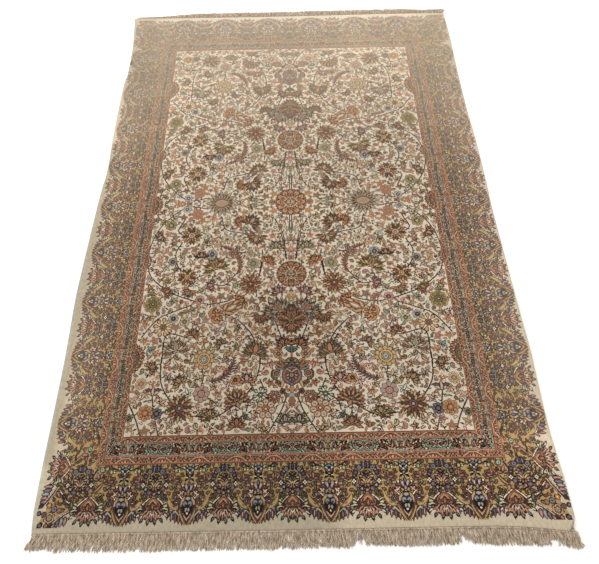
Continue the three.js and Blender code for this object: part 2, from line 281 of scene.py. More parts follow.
# Near the corner the design runs together: rows as above, places as across and along from the middle
CORNER = read("""
    leaf 533 872 176 18 8 mauve; leaf 541 873 174 19 8 slate; leaf 549 876 172 18 8 plum;
    leaf 557 879 170 16 8 mauve; leaf 565 882 168 14 8 plum; leaf 573 884 166 12 7 brick;
    leaf 577 806 92 20 8 mauve; leaf 579 814 94 19 8 plum; leaf 582 822 96 18 8 slate;
    leaf 584 830 98 16 8 mauve; leaf 587 838 100 13 8 plum; leaf 590 847 104 10 7 mauve;
    stroke 6 523 858 543 870 562 886 570 895 umber; stroke 1.7 523 857 543 869 560 884 cream;
    stroke 2.2 528 853 547 866 566 882 rose; stroke 6 566 806 576 824 588 842 600 852 umber;
    stroke 1.7 567 806 578 824 590 842 cream; stroke 2.2 561 810 572 828 584 846 brick;
    bud 531 842 12 7 umber mauve umber slate umber; leaf 523 848 60 20 3 white;
    bud 531 842 4 1 black white; bud 557 821 11 6 umber brick umber rose black;
    leaf 549 826 40 16 2.6 white; leaf 556 829 40 14 2.6 rose; bud 545 829 8 6 black plum black slate;
    bud 563 855 8 6 black slate black; bud 576 847 7 5 umber orange white;
    bud 570 873 13 6 umber fawn umber sienna teal umber; bud 584 866 7 5 umber mauve black;
    bud 550 858 7 5 umber sienna sage; leaf 583 884 130 12 7 mauve black;
    leaf 592 862 110 9 7 plum black; bud 588 888 6 5 black mauve slate; leaf 470 792 -30 15 6 brown;
    leaf 471 793 20 16 6 mauve; leaf 470 795 -75 13 5 brick; leaf 473 795 70 13 5 brown;
    stroke 5 478 772 485 782 484 792 black; stroke 1.6 481 771 488 782 rose;
    bud 466 772 7 5 black teal black; leaf 507 738 130 15 6 brown; leaf 508 736 90 16 6 mauve;
    leaf 510 740 175 13 5 brick; bud 505 722 7 5 black teal black;
    stroke 5 530 726 537 738 535 748 black; stroke 2 497 764 500 790 496 812 484 825 brick;
    bud 488 806 7 6 umber sienna umber; leaf 548 845 80 12 4 brick; leaf 540 856 120 9 4 olive;
    leaf 566 838 30 9 4 plum""")
TEAL_THREADS = ("teal teal teal teal umber black sea sage celery shell slate umber black rust salmon "
                "brick orange").split()
GOLD_THREADS = "brown mauve brick moss umber rust sage sienna".split()


def motif(g, a, top, rows, sides=(-1, 1)):
    """Draws a motif's rows about a place, each on both sides of its middle line."""
    for kind, numbers, yarns in rows:
        for side in sides:
            if kind == "stroke":
                width, *points = numbers
                g.line([(a + side * x, top + y) for x, y in zip(points[::2], points[1::2])], width, *yarns)
            elif kind == "leaf":
                x, y, heading, length, width, bend = (*numbers, 0)[:6]
                fill, edge = (*yarns, "umber")[:2]
                if edge == "bare":
                    edge = None
                elif width > WIDE_LEAF:
                    fill = f"{fill} {INNER.get(fill, fill)}"
                g.blade(a + side * x, top + y, side * heading, length, width, fill, edge, bend=side * bend)
            else:
                x, y, radius, petals = numbers
                depth, within = 0.2 if petals > 1 else 0, [max(radius - PEN, radius * 0.5)]
                if len(yarns) > 2:
                    within = np.linspace(radius - PEN, 1.4, len(yarns) - 1)
                rings = [(r, yarn, depth) for r, yarn in zip((radius, *within), yarns)]
                g.bloom(a + side * x, top + y, rings, petals)


def guard(g, start, end, ground):
    """A narrow stripe between brick and salmon lines: pale scrolls on a reddish ground, with orange
    leaves and small dark rosettes packed between them."""
    g.band(start, end, "rust")
    g.band(start + 3, end - 3, ground)
    for a in np.arange(-GUARD_UNIT / 2, 900, GUARD_UNIT):
        motif(g, a, (start + end) / 2, GUARD)
    for o, yarn in ((start, "brick"), (start + 2.2, "salmon"), (end - 4.0, "salmon"), (end - 2.2, "brick")):
        g.band(o, o + 2.2, yarn)


def teal_band(g, start, end, stations, draw, ground):
    """A dark stripe filled with short curled strokes, a quarter of them teal, round crossed rosettes."""
    g.band(start, end, ground)
    half = (end - start) / 2
    places = np.array([(x, y) for x in np.arange(2, 84, 3.9) for y in np.arange(2 - half, half, 3.7)])
    for x, y in places + draw.uniform(-0.7, 0.7, places.shape):
        numbers = (x, y, draw.uniform(0, 180), draw.uniform(6, 8.5), 2.8, draw.choice((-80, 80)))
        row = ("leaf", numbers, (draw.choice(TEAL_THREADS), "bare"))
        for a in stations:
            motif(g, a, start + half, (row,))
    for a in stations:
        motif(g, a, start + half, CROSS)
    for o in (start, end - 1.8):
        g.band(o, o + 1.8, "salmon")


def wreath(g, a, o, r=27.0):
    """A ring of dusky florets and leaves on the gold, about a thin gold ring with a dark lotus in it."""
    g.bloom(a, o, [(r + 8, "gold", 0.06), (r + 2.4, "umber", 0.1), (r + 1, "gold", 0.1)], 14)
    for x, y, turn in ring(a, o, 14, r + 2, 12.9):
        g.blade(x, y, turn, 7, 4.6, "plum slate")
    for k, (x, y, turn) in enumerate(ring(a, o, 14, r)):
        petal, eye = (("mauve", "slate"), ("plum", "rose"), ("navy", "grey"))[k % 3]
        g.bloom(x, y, [(6.2, "black", 0.2), (4.6, petal, 0.2), (2.4, eye, 0)], 5, turn)
    g.bloom(a, o, [(22, "umber", 0.14), (20.4, "gold", 0.14), (17.4, "umber", 0.16), (15.6, "mauve", 0.16)],
            petals=12)
    for k, (x, y, turn) in enumerate(ring(a, o, 12, 9, 15)):
        g.blade(x, y, turn, 8, 4.2, ("sage", "rose", "fawn", "brick")[k % 4], "black")
    motif(g, a, o, WREATH)


def gold_depth(a, fans, vases):
    """How far out the gold ground reaches: down to a point below a vase, and up to one over a fan."""
    from_vase, from_fan = (np.min([abs(a - s) for s in places], axis=0) for places in (vases, fans))
    arch = np.clip(ARCH_HALF - from_fan, 0, ARCH_HALF) * ARCH_SLOPE
    return np.where(from_vase < POINT_HALF, POINT_DOWN - POINT_SLOPE * from_vase, GOLD_DOWN - arch)


def main_border(g, fans, vases, last_wreath, draw):
    """Gold ground with wreaths and vases by turns, on the cream of the rug's edge."""
    g.band(BORDER - 1, EDGE + 20, "cream")
    a, o = np.meshgrid(g.along, g.out)
    g.lay(EVERYWHERE, (o > BORDER) & (o < BORDER + gold_depth(a, fans, vases)), "gold")
    g.taken[:] &= ~g.free
    for stations, rows in ((vases, ARCH), (fans, FAN), (vases, VASE)):
        for a in stations:
            motif(g, a, BORDER, rows)
    for a in fans:
        if a < last_wreath:
            wreath(g, a, BORDER + WREATH_DOWN)
    # small leaves, the same in every repeat, over what gold is left between a fan and a vase
    places = np.array([(x, y) for x in np.arange(0, 82, 4.6) for y in np.arange(3, 100, 4.6)])
    for x, y in places + draw.uniform(-1.6, 1.6, places.shape):
        window, right, up = g.window(fans[1] + x, BORDER + y, LEAF_LOOK)
        near = np.hypot(right, up) < LEAF_LOOK
        bare = g.knots[window][near] == NAMES.index("gold")
        if (g.taken[window] & near).sum() > LEAF_TAKEN * near.sum() or bare.mean() < LEAF_GOLD:
            continue
        turn, size = draw.uniform(0, 360), draw.uniform(6, 8.5)
        numbers = (*ahead(x, y, turn, -size * 0.4), turn, size, size * 0.42, 50)
        row = ("leaf", numbers, (draw.choice(GOLD_THREADS),))
        for s in fans:
            motif(g, s, BORDER, (row,))
    g.band(BORDER - 2.4, BORDER, "brick")


def corner(end, side, draw):
    """Where the end and side borders meet: a wreath, and a pointed arch that runs into the corner."""
    c, d = np.meshgrid(end.along, end.out)
    part = lambda free: Cartoon(end.knots, end.along, end.out, free, end.taken)
    whole = part(((c > SIDE_LINES[3]) | (d > BORDER)) & (c > 440) & (d > 590))
    ground = (d < 853 + np.maximum(c - 512, 0) * 0.4) & (c < 560 + np.maximum(d - 800, 0) * 0.38)
    ground &= (c > SIDE_LINES[3]) & (d > BORDER) & ((c > 560) | (d > 730))
    whole.lay(EVERYWHERE, ground, "gold")
    motif(whole, 0, 0, CORNER, (1,))
    for x, y in draw.uniform(*CORNER_LEAVES):
        window, _, _ = whole.window(x, y, 3)
        if (whole.knots[window] == NAMES.index("gold")).mean() > 0.8:
            whole.blade(x, y, draw.uniform(0, 360), 8, 3.4, draw.choice(GOLD_THREADS), bend=50)
    wreath(whole, *CORNER_WREATH)
    motif(part((d > BORDER + 60) & (c < 533)), FAN_ENDS[-1], BORDER, FAN)
    motif(Cartoon(side.knots, side.along, side.out, (c > 538).T, side.taken), FAN_SIDES[-1], BORDER, FAN)


# The field's main flowers: kind, across and along in mm, size, heading, and their yarns in order
FLOWERS = read("""
    great 0 0 47 0 umber orange fawn grey salmon; great 0 252 41 0 umber rust fawn slate orange;
    palmette 42 352 44 32 umber brown grey rust tan; palmette 70 376 26 110 umber olive fawn grey slate;
    palmette 0 378 40 0 umber rust tan brown sienna; rosette 30 392 15 0 umber sienna tan black;
    palmette 0 420 32 180 umber brown tan rust orange; palmette 27 455 28 30 black brown tan rust sienna;
    lily 0 476 26 0 black slate sea moss; palmette 42 300 26 30 umber brown shell slate rust;
    shrine 0 536 62 0 umber mauve tan slate orange; lotus 218 0 50 90 umber gold grey rose tan;
    rosette 290 40 20 0 rust salmon tan sage; palmette 116 62 34 -35 umber brown tan grey rust;
    daisy 32 88 20 0 black tan white orange; palmette 108 137 32 160 umber rust fawn grey orange;
    aster 303 115 31 0 umber brown fawn cream orange; daisy 195 132 15 0 umber straw ivory umber;
    rosette 236 182 18 0 umber mauve mist navy; palmette 268 180 22 0 umber sienna apricot slate navy;
    rosette 370 78 19 0 umber olive fawn grey; palmette 402 122 24 120 umber sienna fawn grey rust;
    palmette 228 212 40 20 umber olive straw mauve rust; rosette 112 216 20 0 umber sage fawn slate;
    aster 305 256 28 0 umber brown straw fawn rust; palmette 238 284 23 90 umber mauve shell slate rust;
    aster 118 282 34 0 umber rust fawn brick sienna;
    palmette 140 332 26 -70 umber sienna apricot tan orange;
    rosette 395 340 27 0 umber olive apricot navy; spray 190 366 50 -62 umber rust fawn mist orange;
    daisy 358 410 27 0 umber sienna straw olive; rosette 300 395 15 0 umber sienna celery navy;
    rosette 332 385 15 0 umber brown mist navy; sun 238 503 31 0 umber sage fawn grey slate;
    palmette 318 462 38 10 umber sienna cream sage tan;
    palmette 97 472 37 -10 umber olive tan orange slate; rosette 36 492 14 0 umber rust fawn navy;
    palmette 120 552 27 0 umber rust shell grey orange; rosette 150 560 14 0 umber brick apricot umber;
    daisy 82 600 20 0 black sea celery ivory; cinquefoil 46 606 18 20 umber sienna grey brown;
    cinquefoil 68 635 26 0 umber orange cream slate; fan_flower 146 608 34 20 umber brown fawn rust;
    rosette 238 594 23 0 umber rose grey salmon; aster 292 630 35 0 umber brown fawn mauve rust;
    rosette 350 642 16 0 black mauve slate rust; rosette 380 640 21 0 umber sienna apricot tan;
    lily 366 582 30 0 umber mauve cream rust; lily 262 566 24 -30 umber olive tan celery;
    palmette 303 556 25 40 umber brown fawn sienna tan; lily 118 652 18 -50 umber teal sea moss;
    palmette 142 664 26 0 umber mauve tan rust sienna; lily 184 676 17 0 umber orange rust tan;
    palmette 18 657 23 8 umber sage cream mauve sea; palmette 222 655 22 180 umber brown tan mauve sage;
    rosette 400 565 16 0 rust salmon celery orange; rosette 420 650 12 0 umber sienna sage umber;
    palmette 356 300 22 -60 umber sienna tan gold rust; rosette 262 330 15 0 umber rust shell navy;
    rosette 352 205 15 0 umber mauve grey umber; palmette 165 65 24 70 umber rose apricot brick orange;
    palmette 62 200 26 -30 umber tan apricot rust orange;
    palmette 200 455 20 40 umber sage tan slate rust; rosette 175 180 14 0 umber slate tan rust;
    palmette 88 395 26 170 umber rust tan black sienna; rosette 325 20 14 0 umber slate mist rust;
    palmette 372 520 22 -60 umber brown fawn slate orange;
    palmette 270 425 22 -20 umber rust tan olive orange;
    palmette 45 150 28 0 umber mauve celery rust tan;
    palmette 300 310 24 150 umber slate fawn rust orange;
    palmette 212 640 22 0 umber brown straw rust sage""")
# Stems through their points, across and along
STEMS = read("""
    stem 86 490 86 525 98 565 118 596 146 622 180 645 200 652 262 650;
    stem 240 438 285 442 330 430 350 440 352 490 352 530 345 570 320 610;
    stem 12 600 25 635 42 665 62 696; stem 44 640 66 600 84 560;
    stem 365 40 405 90 425 150 424 200 412 250 365 295 315 320 245 342 215 342;
    stem 285 345 335 365 375 385 415 435; stem 100 455 118 425 150 392; stem 150 210 156 240 175 265;
    stem 60 45 25 110 15 200; stem 440 560 430 600 400 660 385 696; stem 88 210 92 245;
    stem 215 50 200 95 150 110 125 120; stem 3 52 4 90; stem 330 140 345 175 338 215 320 240;
    stem 86 170 84 205 92 250 100 262; stem 30 110 22 150 12 205; stem 260 20 320 12 365 40;
    stem 150 300 172 330 215 342; stem 240 530 236 552 240 574; stem 145 632 142 655;
    stem 352 660 340 696; stem 366 600 358 640; stem 14 470 30 440 46 395; stem 120 438 106 470 112 500;
    stem 90 600 112 618 118 640; stem 420 505 436 540 440 560; stem 170 265 195 285 225 282;
    stem 255 250 280 262 300 290; stem 130 180 165 175 200 160; stem 330 60 345 95 335 110""")
# Long combed leaves: place of the root, heading, length, width and bend
COMBS = read("""
    comb 158 252 -30 140 15 125 umber rust brick sienna;
    comb 222 562 -95 112 15 105 umber mauve brick rust""")
HALF_MEDALLIONS = ((494, 42), (0, 38), (200, 28))   # place along, and radius
# Fillers, the larger first: how wide a bare place each needs, and how far apart they are tried
FILLER_STEPS = ((12, 13), (10, 11), (8, 9), (6, 7.5), (4.4, 6))
FILLER_STRAY, FILLER_TAKEN = 0.45, 0.03      # how far it strays, and how much may be taken already
FILLS = ("tan fawn apricot celery straw shell orange cream fawn apricot sage salmon "
         "salmon tan sienna tan gold mist teal rose olive white").split()
EDGES = "umber brick umber rust brick brown umber black mauve rust".split()


def sprig(g, a, o, size, heading, fills, edge):
    """A leaf between two pairs that curl away from it, the lower pair small."""
    one, two = fills
    for side in (-1, 1):
        g.blade(a, o, heading + side * 84, size * 0.6, size * 0.2, two, edge, bend=side * 120)
        g.blade(a, o, heading + side * 34, size * 0.9, size * 0.28, f"{one} {two}", edge, bend=side * 75)
    g.blade(a, o, heading, size, size * 0.29, f"{two} {one}", edge)


def scroll(g, a, o, size, heading, fills, edge, hand):
    """A leaf curled round on itself, with a smaller one springing from its back."""
    one, two = fills
    g.blade(a, o, heading + 95 * hand, size * 0.8, size * 0.3, two, edge, bend=-70 * hand)
    g.blade(a, o, heading, size * 1.7, size * 0.36, f"{one} {two}", edge, bend=hand * 165, belly=0.35)


def crown(g, a, o, start, stop, fills, edge, turn, width, belly=0.62):
    """A full ring of petals from one radius to another, as many as stand side by side."""
    count = max(5, int(np.pi * (start + stop) / width))
    g.fan(a, o, turn, count, 180 - 180 / count, stop - start, width * 0.64, fills, edge, start, belly=belly)


def lotus(g, a, o, r, heading, edge, outer, inner, heart, core):
    """A lotus seen from above: broad pointed leaves all round, and a pointed cup lying across it."""
    crown(g, a, o, r * 0.45, r, (f"{outer} {inner}", f"{inner} {core}"), edge, heading, 13, 0.4)
    crown(g, a, o, r * 0.3, r * 0.62, (inner, heart, core), edge, heading, 8)
    g.blade(*ahead(a, o, heading, -r * 0.5), heading, r, r * 0.62,
            f"{outer} {edge} {inner} {inner} {heart} {core}", edge, belly=0.5)


def great(g, a, o, r, heading, edge, outer, inner, heart, core):
    """The great rosettes of the middle line: round pale lobes with a small eye each, two rings of
    petals, and an upright lozenge with leaves about it."""
    crown(g, a, o, r * 0.7, r * 1.04, (core, outer), edge, 10, 6.6)
    for x, y, _ in ring(a, o, 12, r * 0.77):
        g.bloom(x, y, [(r * 0.2, edge, 0), (r * 0.2 - PEN, inner, 0), (r * 0.1, outer, 0)])
    crown(g, a, o, r * 0.34, r * 0.68, (core, inner, outer), edge, 0, 7.6)
    g.bloom(a, o, [(r * 0.34, edge, 0.1), (r * 0.34 - PEN, outer, 0.1)], 10)
    g.blade(a, o + r * 0.3, 0, r * 0.6, r * 0.3, f"{inner} {inner} {heart}", edge, belly=0.5)
    for side in (-1, 1):
        g.blade(a, o + r * 0.1, side * 70, r * 0.28, r * 0.12, inner, edge)


def aster(g, a, o, r, heading, edge, outer, inner, heart, core):
    """A ragged ring of many pointed petals about a smaller ring and a round heart."""
    crown(g, a, o, r * 0.5, r * 1.04, (inner, outer, inner, core), edge, heading + 6, 7.6, 0.45)
    crown(g, a, o, r * 0.26, r * 0.7, (outer, inner, core), edge, heading, 7.6, 0.5)
    g.bloom(a, o, [(r * 0.36, edge, 0.12), (r * 0.36 - PEN, heart, 0.12), (r * 0.18, edge, 0),
                   (r * 0.1, inner, 0)])


def sun(g, a, o, r, heading, edge, outer, inner, heart, core):
    """A ring of round golden lobes about ringed seeds, with pointed petals standing up behind it."""
    fills = (f"{inner} {outer}", f"{outer} {inner}")
    g.fan(a, o, heading - 20, 7, 78, r * 0.7, 7, fills, edge, r * 0.6, belly=0.5)
    for x, y, _ in ring(a, o, 11, r * 0.7):
        g.bloom(x, y, [(r * 0.25, "brown", 0), (r * 0.25 - PEN, inner, 0), (r * 0.08, "apricot", 0)])
    g.bloom(a, o, [(r * 0.62, "brown", 0.08), (r * 0.55, "straw", 0.08), (r * 0.42, edge, 0.1),
                   (r * 0.36, heart, 0.1), (r * 0.27, edge, 0), (r * 0.2, "cream", 0), (r * 0.1, core, 0)],
            petals=11)


def daisy(g, a, o, r, heading, edge, outer, inner, heart):
    """Petals like drops, each with its own outline and a stripe of a second yarn."""
    for x, y, turn in ring(a, o, 9 if r > 22 else 7, r * 0.36, heading):
        g.blade(x, y, turn, r * 0.66, r * 0.33, f"{outer} {inner}", edge, belly=0.7)
    g.bloom(a, o, [(r * 0.4, edge, 0.12), (r * 0.4 - PEN, outer, 0.12), (r * 0.2, edge, 0.1),
                   (r * 0.12, heart, 0.1)], turn=22)


def cinquefoil(g, a, o, r, heading, edge, outer, inner, heart):
    """Seven round petals edged in a bright yarn, each with a pale eye, round a small blossom."""
    for x, y, turn in ring(a, o, 7, r * 0.64, heading):
        g.bloom(x, y, [(r * 0.38, edge, 0), (r * 0.38 - 1.9, outer, 0), (r * 0.38 - 3.7, inner, 0)])
        g.blade(*ahead(x, y, turn, -4), turn, 9, 3.8, heart, None)
    g.bloom(a, o, [(r * 0.4, edge, 0.2), (r * 0.4 - 1.7, outer, 0.2), (r * 0.2, edge, 0),
                   (r * 0.1, "white", 0)], 5)


def rosette(g, a, o, r, heading, edge, outer, inner, heart):
    """A small rosette: round petals with an eye each, round a ringed heart."""
    for x, y, _ in ring(a, o, 8, r * 0.66, heading):
        g.bloom(x, y, [(r * 0.34, edge, 0), (r * 0.34 - 1.6, inner, 0), (r * 0.34 - 3.6, outer, 0)])
    g.bloom(a, o, [(r * 0.46, edge, 0.14), (r * 0.46 - PEN, outer, 0.14), (r * 0.22, heart, 0),
                   (r * 0.1, inner, 0)], turn=heading)


def palmette(g, a, o, size, heading, edge, outer, inner, heart, core):
    """A lotus in profile: three rows of outlined leaves fanned from its foot, one before the other,
    a pointed cup with its heart, and two curled sepals."""
    x, y = ahead(a, o, heading, -size * 0.45)
    leaves, wide = int(np.clip(size / 3.6, 5, 11)) | 1, max(size * 0.17, 5.0)
    for side in (-1, 1):
        g.blade(x, y, heading + side * 120, size * 0.42, size * 0.18, inner, edge, bend=-side * 90)
    for count, spread, length, fills, base in ((leaves + 2, 112, 0.74, (inner, outer, inner, core), 0.28),
                                               (leaves, 96, 0.56, (core, inner, outer), 0.18),
                                               (5, 62, 0.5, (inner, core), 0.08)):
        vein = edge if wide > 5.4 and len(fills) > 2 else None
        g.fan(x, y, heading, count, spread, size * length, wide, fills, edge, size * base,
              belly=0.5, vein=vein)
    g.blade(x, y, heading, size * 0.68, size * 0.3, f"{inner} {heart} {heart}", edge)
    g.bloom(x, y, [(size * 0.1, edge, 0), (size * 0.1 - 1.6, inner, 0)])


def fan_flower(g, a, o, size, heading, edge, outer, inner, heart):
    """A half round of many thin rays, pale and dark in turn, over a dark cup with pale seeds."""
    x, y = ahead(a, o, heading, -size * 0.3)
    g.fan(x, y, heading, 13, 104, size * 0.42, 5.6, (heart, "tan"), edge, size * 0.6, belly=0.5)
    g.fan(x, y, heading, 15, 106, size * 0.4, 4.0, (inner, edge), outer, size * 0.34, belly=0.6)
    g.bloom(x, y, [(size * 0.36, edge, 0.1), (size * 0.36 - PEN, outer, 0.1), (size * 0.22, edge, 0.1)], 14)
    for px, py, _ in ring(x, y, 7, size * 0.17, heading):
        g.bloom(px, py, [(1.7, inner, 0)])
    for side in (-1, 1):
        g.blade(x, y, heading + side * 118, size * 0.62, size * 0.2, f"{heart} tan", edge, bend=-side * 80)
    g.blade(x, y, heading + 180, size * 0.44, size * 0.22, "tan", edge)


def lily(g, a, o, size, heading, edge, outer, inner, heart):
    """A bell of three petals with tips that curl outward, on a short foot."""
    x, y = ahead(a, o, heading, -size * 0.5)
    for side in (-1, 1):
        g.blade(x, y, heading + side * 4, size * 1.05, size * 0.26, outer, edge, bend=side * 110, belly=0.45)
        g.blade(x, y, heading + side * 30, size * 0.66, size * 0.2, inner, edge, bend=side * 60, belly=0.5)
    g.blade(x, y, heading, size * 0.86, size * 0.26, f"{heart} {inner}", edge)


def spray(g, a, o, size, heading, edge, outer, inner, heart, core):
    """The great leaning flowers: curled leaves to both sides of a midrib, a bright blossom at the
    foot and a pale almond at the tip."""
    for k, along in enumerate(np.linspace(-0.75, 0.55, 6)):
        x, y = ahead(a, o, heading, along * size)
        for side in (-1, 1):
            g.blade(x, y, heading + side * (105 - 9 * k), size * 0.62, size * 0.2,
                    (f"{inner} {core}", f"{outer} {inner}")[k % 2], edge, bend=-side * 95, belly=0.45)
    for side in (-1, 1):
        g.blade(a, o, heading + 180 + side * 40, size * 0.7, size * 0.2, f"{inner} {heart}", edge,
                bend=side * 70)
    foot = ahead(a, o, heading, -size * 0.42)
    crown(g, *foot, 5, size * 0.36, ("apricot", core), edge, 0, 7)
    g.bloom(*foot, [(6, edge, 0), (4.2, "straw", 0), (1.8, outer, 0)])
    g.blade(*ahead(a, o, heading, size * 0.1), heading, size * 0.72, size * 0.34,
            f"{outer} apricot {edge} {heart} {heart} white", edge, belly=0.5)


def shrine(g, a, o, size, heading, edge, outer, inner, heart, core):
    """The great palmette of the middle line: a domed crest with a hatched wing to each side, over a
    crossed round body between two rosettes, and small blossoms that taper to a pointed leaf."""
    for side in (-1, 1):
        g.blade(a + side * 36, o + 28, side * 62, 34, 11, "brown olive", "black", bend=-side * 75, belly=0.55)
        for turn, length, yarns in ((82, 34, "grey slate"), (62, 40, "tan sienna"), (40, 36, "fawn rust")):
            g.blade(a + side * 10, o - 4, side * turn, length, 12, yarns, edge, vein=edge, belly=0.6)
        g.bloom(a + side * 41, o + 9, [(12, edge, 0.15), (10, inner, 0.15), (7, edge, 0), (5, heart, 0),
                                       (2.4, outer, 0)], 7)
        for x, y, radius, yarn in ((30, 36, 9, "sienna"), (24, 56, 9, "brown"), (38, 32, 7, "rust"),
                                   (14, 66, 7, "sienna")):
            rings = [(radius, edge, 0.25), (radius - PEN, yarn, 0.25), (radius * 0.36, edge, 0)]
            g.bloom(a + side * x, o + y, rings, 5, side * 20)
        g.blade(a + side * 20, o + 24, 180 - side * 20, 26, 6, "apricot straw", edge)
        g.blade(a + side * 26, o + 18, 180 - side * 12, 13, 5, "mist", heart)
    g.bloom(a, o - 14, [(22, edge, 0.1), (20, "olive", 0.1)], 13)
    for k, (x, y, turn) in enumerate(ring(a, o - 14, 9, 10)):
        g.blade(x, y, turn, 9, 5, ("brown", "tan", "sage")[k % 3], edge)
    g.bloom(a, o - 14, [(9, edge, 0.2), (6.6, "slate", 0.2), (3.4, edge, 0)], 6)
    g.bloom(a, o + 14, [(27, edge, 0.05), (25, outer, 0.05), (22, inner, 0.06), (20, outer, 0.06)], 15)
    for k, (x, y, turn) in enumerate(ring(a, o + 14, 10, 8.5, 18)):
        g.blade(x, y, turn, 8.5, 4, (inner, "slate", "sienna")[k % 3], edge)
    for side in (-1, 1):
        g.line(((a - side * 13, o - 2), (a, o + 6), (a + side * 13, o + 16)), 1.7, "shell")
    g.bloom(a, o + 14, [(7.6, edge, 0.2), (5.4, inner, 0.2), (2.4, edge, 0)], 4)
    g.bloom(a, o + 38, [(6.4, edge, 0), (4.2, heart, 0)])
    g.blade(a, o + 42, 180, 20, 9, "apricot orange", edge)
    g.blade(a, o + 60, 180, 16, 13, "grey", heart)
    g.blade(a, o + 72, 180, 24, 14, "tan rust", edge, belly=0.4)


def comb(g, a, o, heading, length, width, bend, edge, rib, teeth, tips):
    """A long bent leaf: short teeth slant forward from both sides of a rib that runs round an arc."""
    radius = length / np.radians(bend)
    for k, s in enumerate(np.arange(8, length - 6, 7.6)):
        turn, h = s / radius, np.radians(heading)
        on, aside = radius * np.sin(turn), radius * (1 - np.cos(turn))
        x, y = a + on * np.sin(h) + aside * np.cos(h), o - on * np.cos(h) + aside * np.sin(h)
        reach = width * np.sin(np.pi * (s / length) ** 0.7) ** 0.7
        for side in (-1, 1):
            g.blade(x, y, heading + np.degrees(turn) + side * 48, reach, 2.6, (teeth, tips)[k % 2], edge,
                    pen=1.2)
    g.blade(a, o, heading, length, width * 0.24, rib, edge, bend=bend, pen=1.4)


def half_medallion(g, o, r):
    """A roundel cut by the side border: a band with gold beads, a white line and an olive heart."""
    a = FIELD_SIDE + 14
    crown(g, a, o, r * 0.74, r * 1.05, ("sienna", "rust", "fawn"), "umber", 0, 8)
    g.bloom(a, o, [(r * 0.9, "rust", 0), (r * 0.72, "black", 0), (r * 0.68, "sea", 0), (r * 0.62, "umber", 0),
                   (r * 0.58, "tan", 0), (r * 0.25, "rust", 0.1)], 18)
    for k, turn in enumerate(np.arange(-176, 0, 16)):
        bead, petal = (("shell", "olive"), ("apricot", "fawn"))[k % 2]
        g.bloom(*ahead(a, o, turn, r * 0.81), [(3.4, "umber", 0), (2, bead, 0)])
        g.blade(*ahead(a, o, turn, r * 0.26), turn, r * 0.28, 4.0, petal)


def field(g):
    """Stems first, then the flowers, then fillers wherever the ivory ground is still bare."""
    draw = np.random.default_rng(7)
    g.lay(EVERYWHERE, True, "ivory")
    g.taken[:] &= ~g.free
    for _, numbers, _ in STEMS:
        points = np.reshape(numbers, (-1, 2))
        g.line(points, 3.6, "umber")
        for (a, o), (a2, o2) in zip(points[:-1], points[1:]):
            heading = np.degrees(np.arctan2(a2 - a, o - o2))
            for hand in (-1, 1):
                at = draw.uniform(0.15, 0.85)
                g.blade(a + at * (a2 - a), o + at * (o2 - o), heading + hand * 65, 9, 3.4, "umber", None,
                        bend=hand * 80)
    for o, r in HALF_MEDALLIONS:
        half_medallion(g, o, r)
    kinds = (comb, rosette, palmette, lily, lotus, great, aster, daisy, shrine, sun, cinquefoil, fan_flower,
             spray)
    kinds = {kind.__name__: kind for kind in kinds}
    for kind, numbers, yarns in COMBS + FLOWERS:
        kinds[kind](g, *numbers, *yarns)
    for reach, step in FILLER_STEPS:
        places = np.mgrid[0:FIELD_SIDE:step, 0:FIELD_END:step].reshape(2, -1).T
        places = places + draw.uniform(-FILLER_STRAY, FILLER_STRAY, places.shape) * step
        for a, o in places[draw.permutation(len(places))]:
            a = abs(a)
            window, right, up = g.window(a, o, reach)
            near = np.hypot(right, up) < reach
            taken = (g.taken[window] & near).mean()
            if near.sum() < 8 or taken > FILLER_TAKEN or not g.free[window].all():
                continue
            heading, hand = draw.uniform(0, 360), draw.choice((-1, 1))
            fills, edge = draw.choice(FILLS, 2), draw.choice(EDGES)
            kind = draw.integers(4)
            x, y = ahead(a, o, heading, -reach * 0.75)
            if reach > 8 and kind < 3:
                sprig(g, x, y, reach * 1.5, heading, fills, edge)
            elif reach > 6:
                scroll(g, x, y, reach * 1.2, heading - 60 * hand, fills, edge, hand)
            elif reach > 5 and kind == 0:
                g.blade(x, y, heading - 50 * hand, reach * 2.2, 4.0, "black", None, bend=110 * hand)
            else:
                g.blade(x, y, heading - 30 * hand, reach * 2, reach * 0.62, fills[0], edge, bend=80 * hand)


def quarter():
    """The chart of one quarter: the side's drawing is the same chart turned over, and stretched so
    that its bands fall in the end's places."""
    cols, rows = int(HALF_WIDTH / KNOT), int(HALF_LENGTH / KNOT)
    across, along = (np.arange(cols) + 0.5) * KNOT, (np.arange(rows) + 0.5) * KNOT
    knots = np.full((rows, cols), NAMES.index("ivory"), np.int8)
    taken = np.zeros(knots.shape, bool)
    side_out = np.interp(across, SIDE_LINES, END_LINES, left=0)
    past = across > SIDE_LINES[-1]
    side_out[past] = EDGE + across[past] - SIDE_LINES[-1]
    c, d = np.meshgrid(side_out, along)
    end_free, side_free = (d > END_LINES[0]) & (d >= c), (c > END_LINES[0]) & (c > d)
    end = Cartoon(knots, across, along, end_free, taken)
    side_out = np.where(across < SIDE_LINES[0], END_LINES[0] - (SIDE_LINES[0] - across), side_out)
    side = Cartoon(knots.T, along, side_out, side_free.T, taken.T)
    draw = np.random.default_rng(5)
    inner_guard, teal, outer_guard, border = END_LINES[:4]
    for g, fans, vases, rosettes, last, dark, warm in (
            (end, FAN_ENDS, VASE_ENDS, FAN_ENDS, 450, "black", "rust"),
            (side, FAN_SIDES, VASE_SIDES, TEAL_SIDES, 700, "brown", "sienna")):
        main_border(g, fans, vases, last, draw)
        guard(g, inner_guard, teal, warm)
        guard(g, outer_guard, border, warm)
        teal_band(g, teal, outer_guard, rosettes, draw, dark)
    corner(end, side, draw)
    field(Cartoon(knots, across, along, ~(end_free | side_free), taken))
    return knots


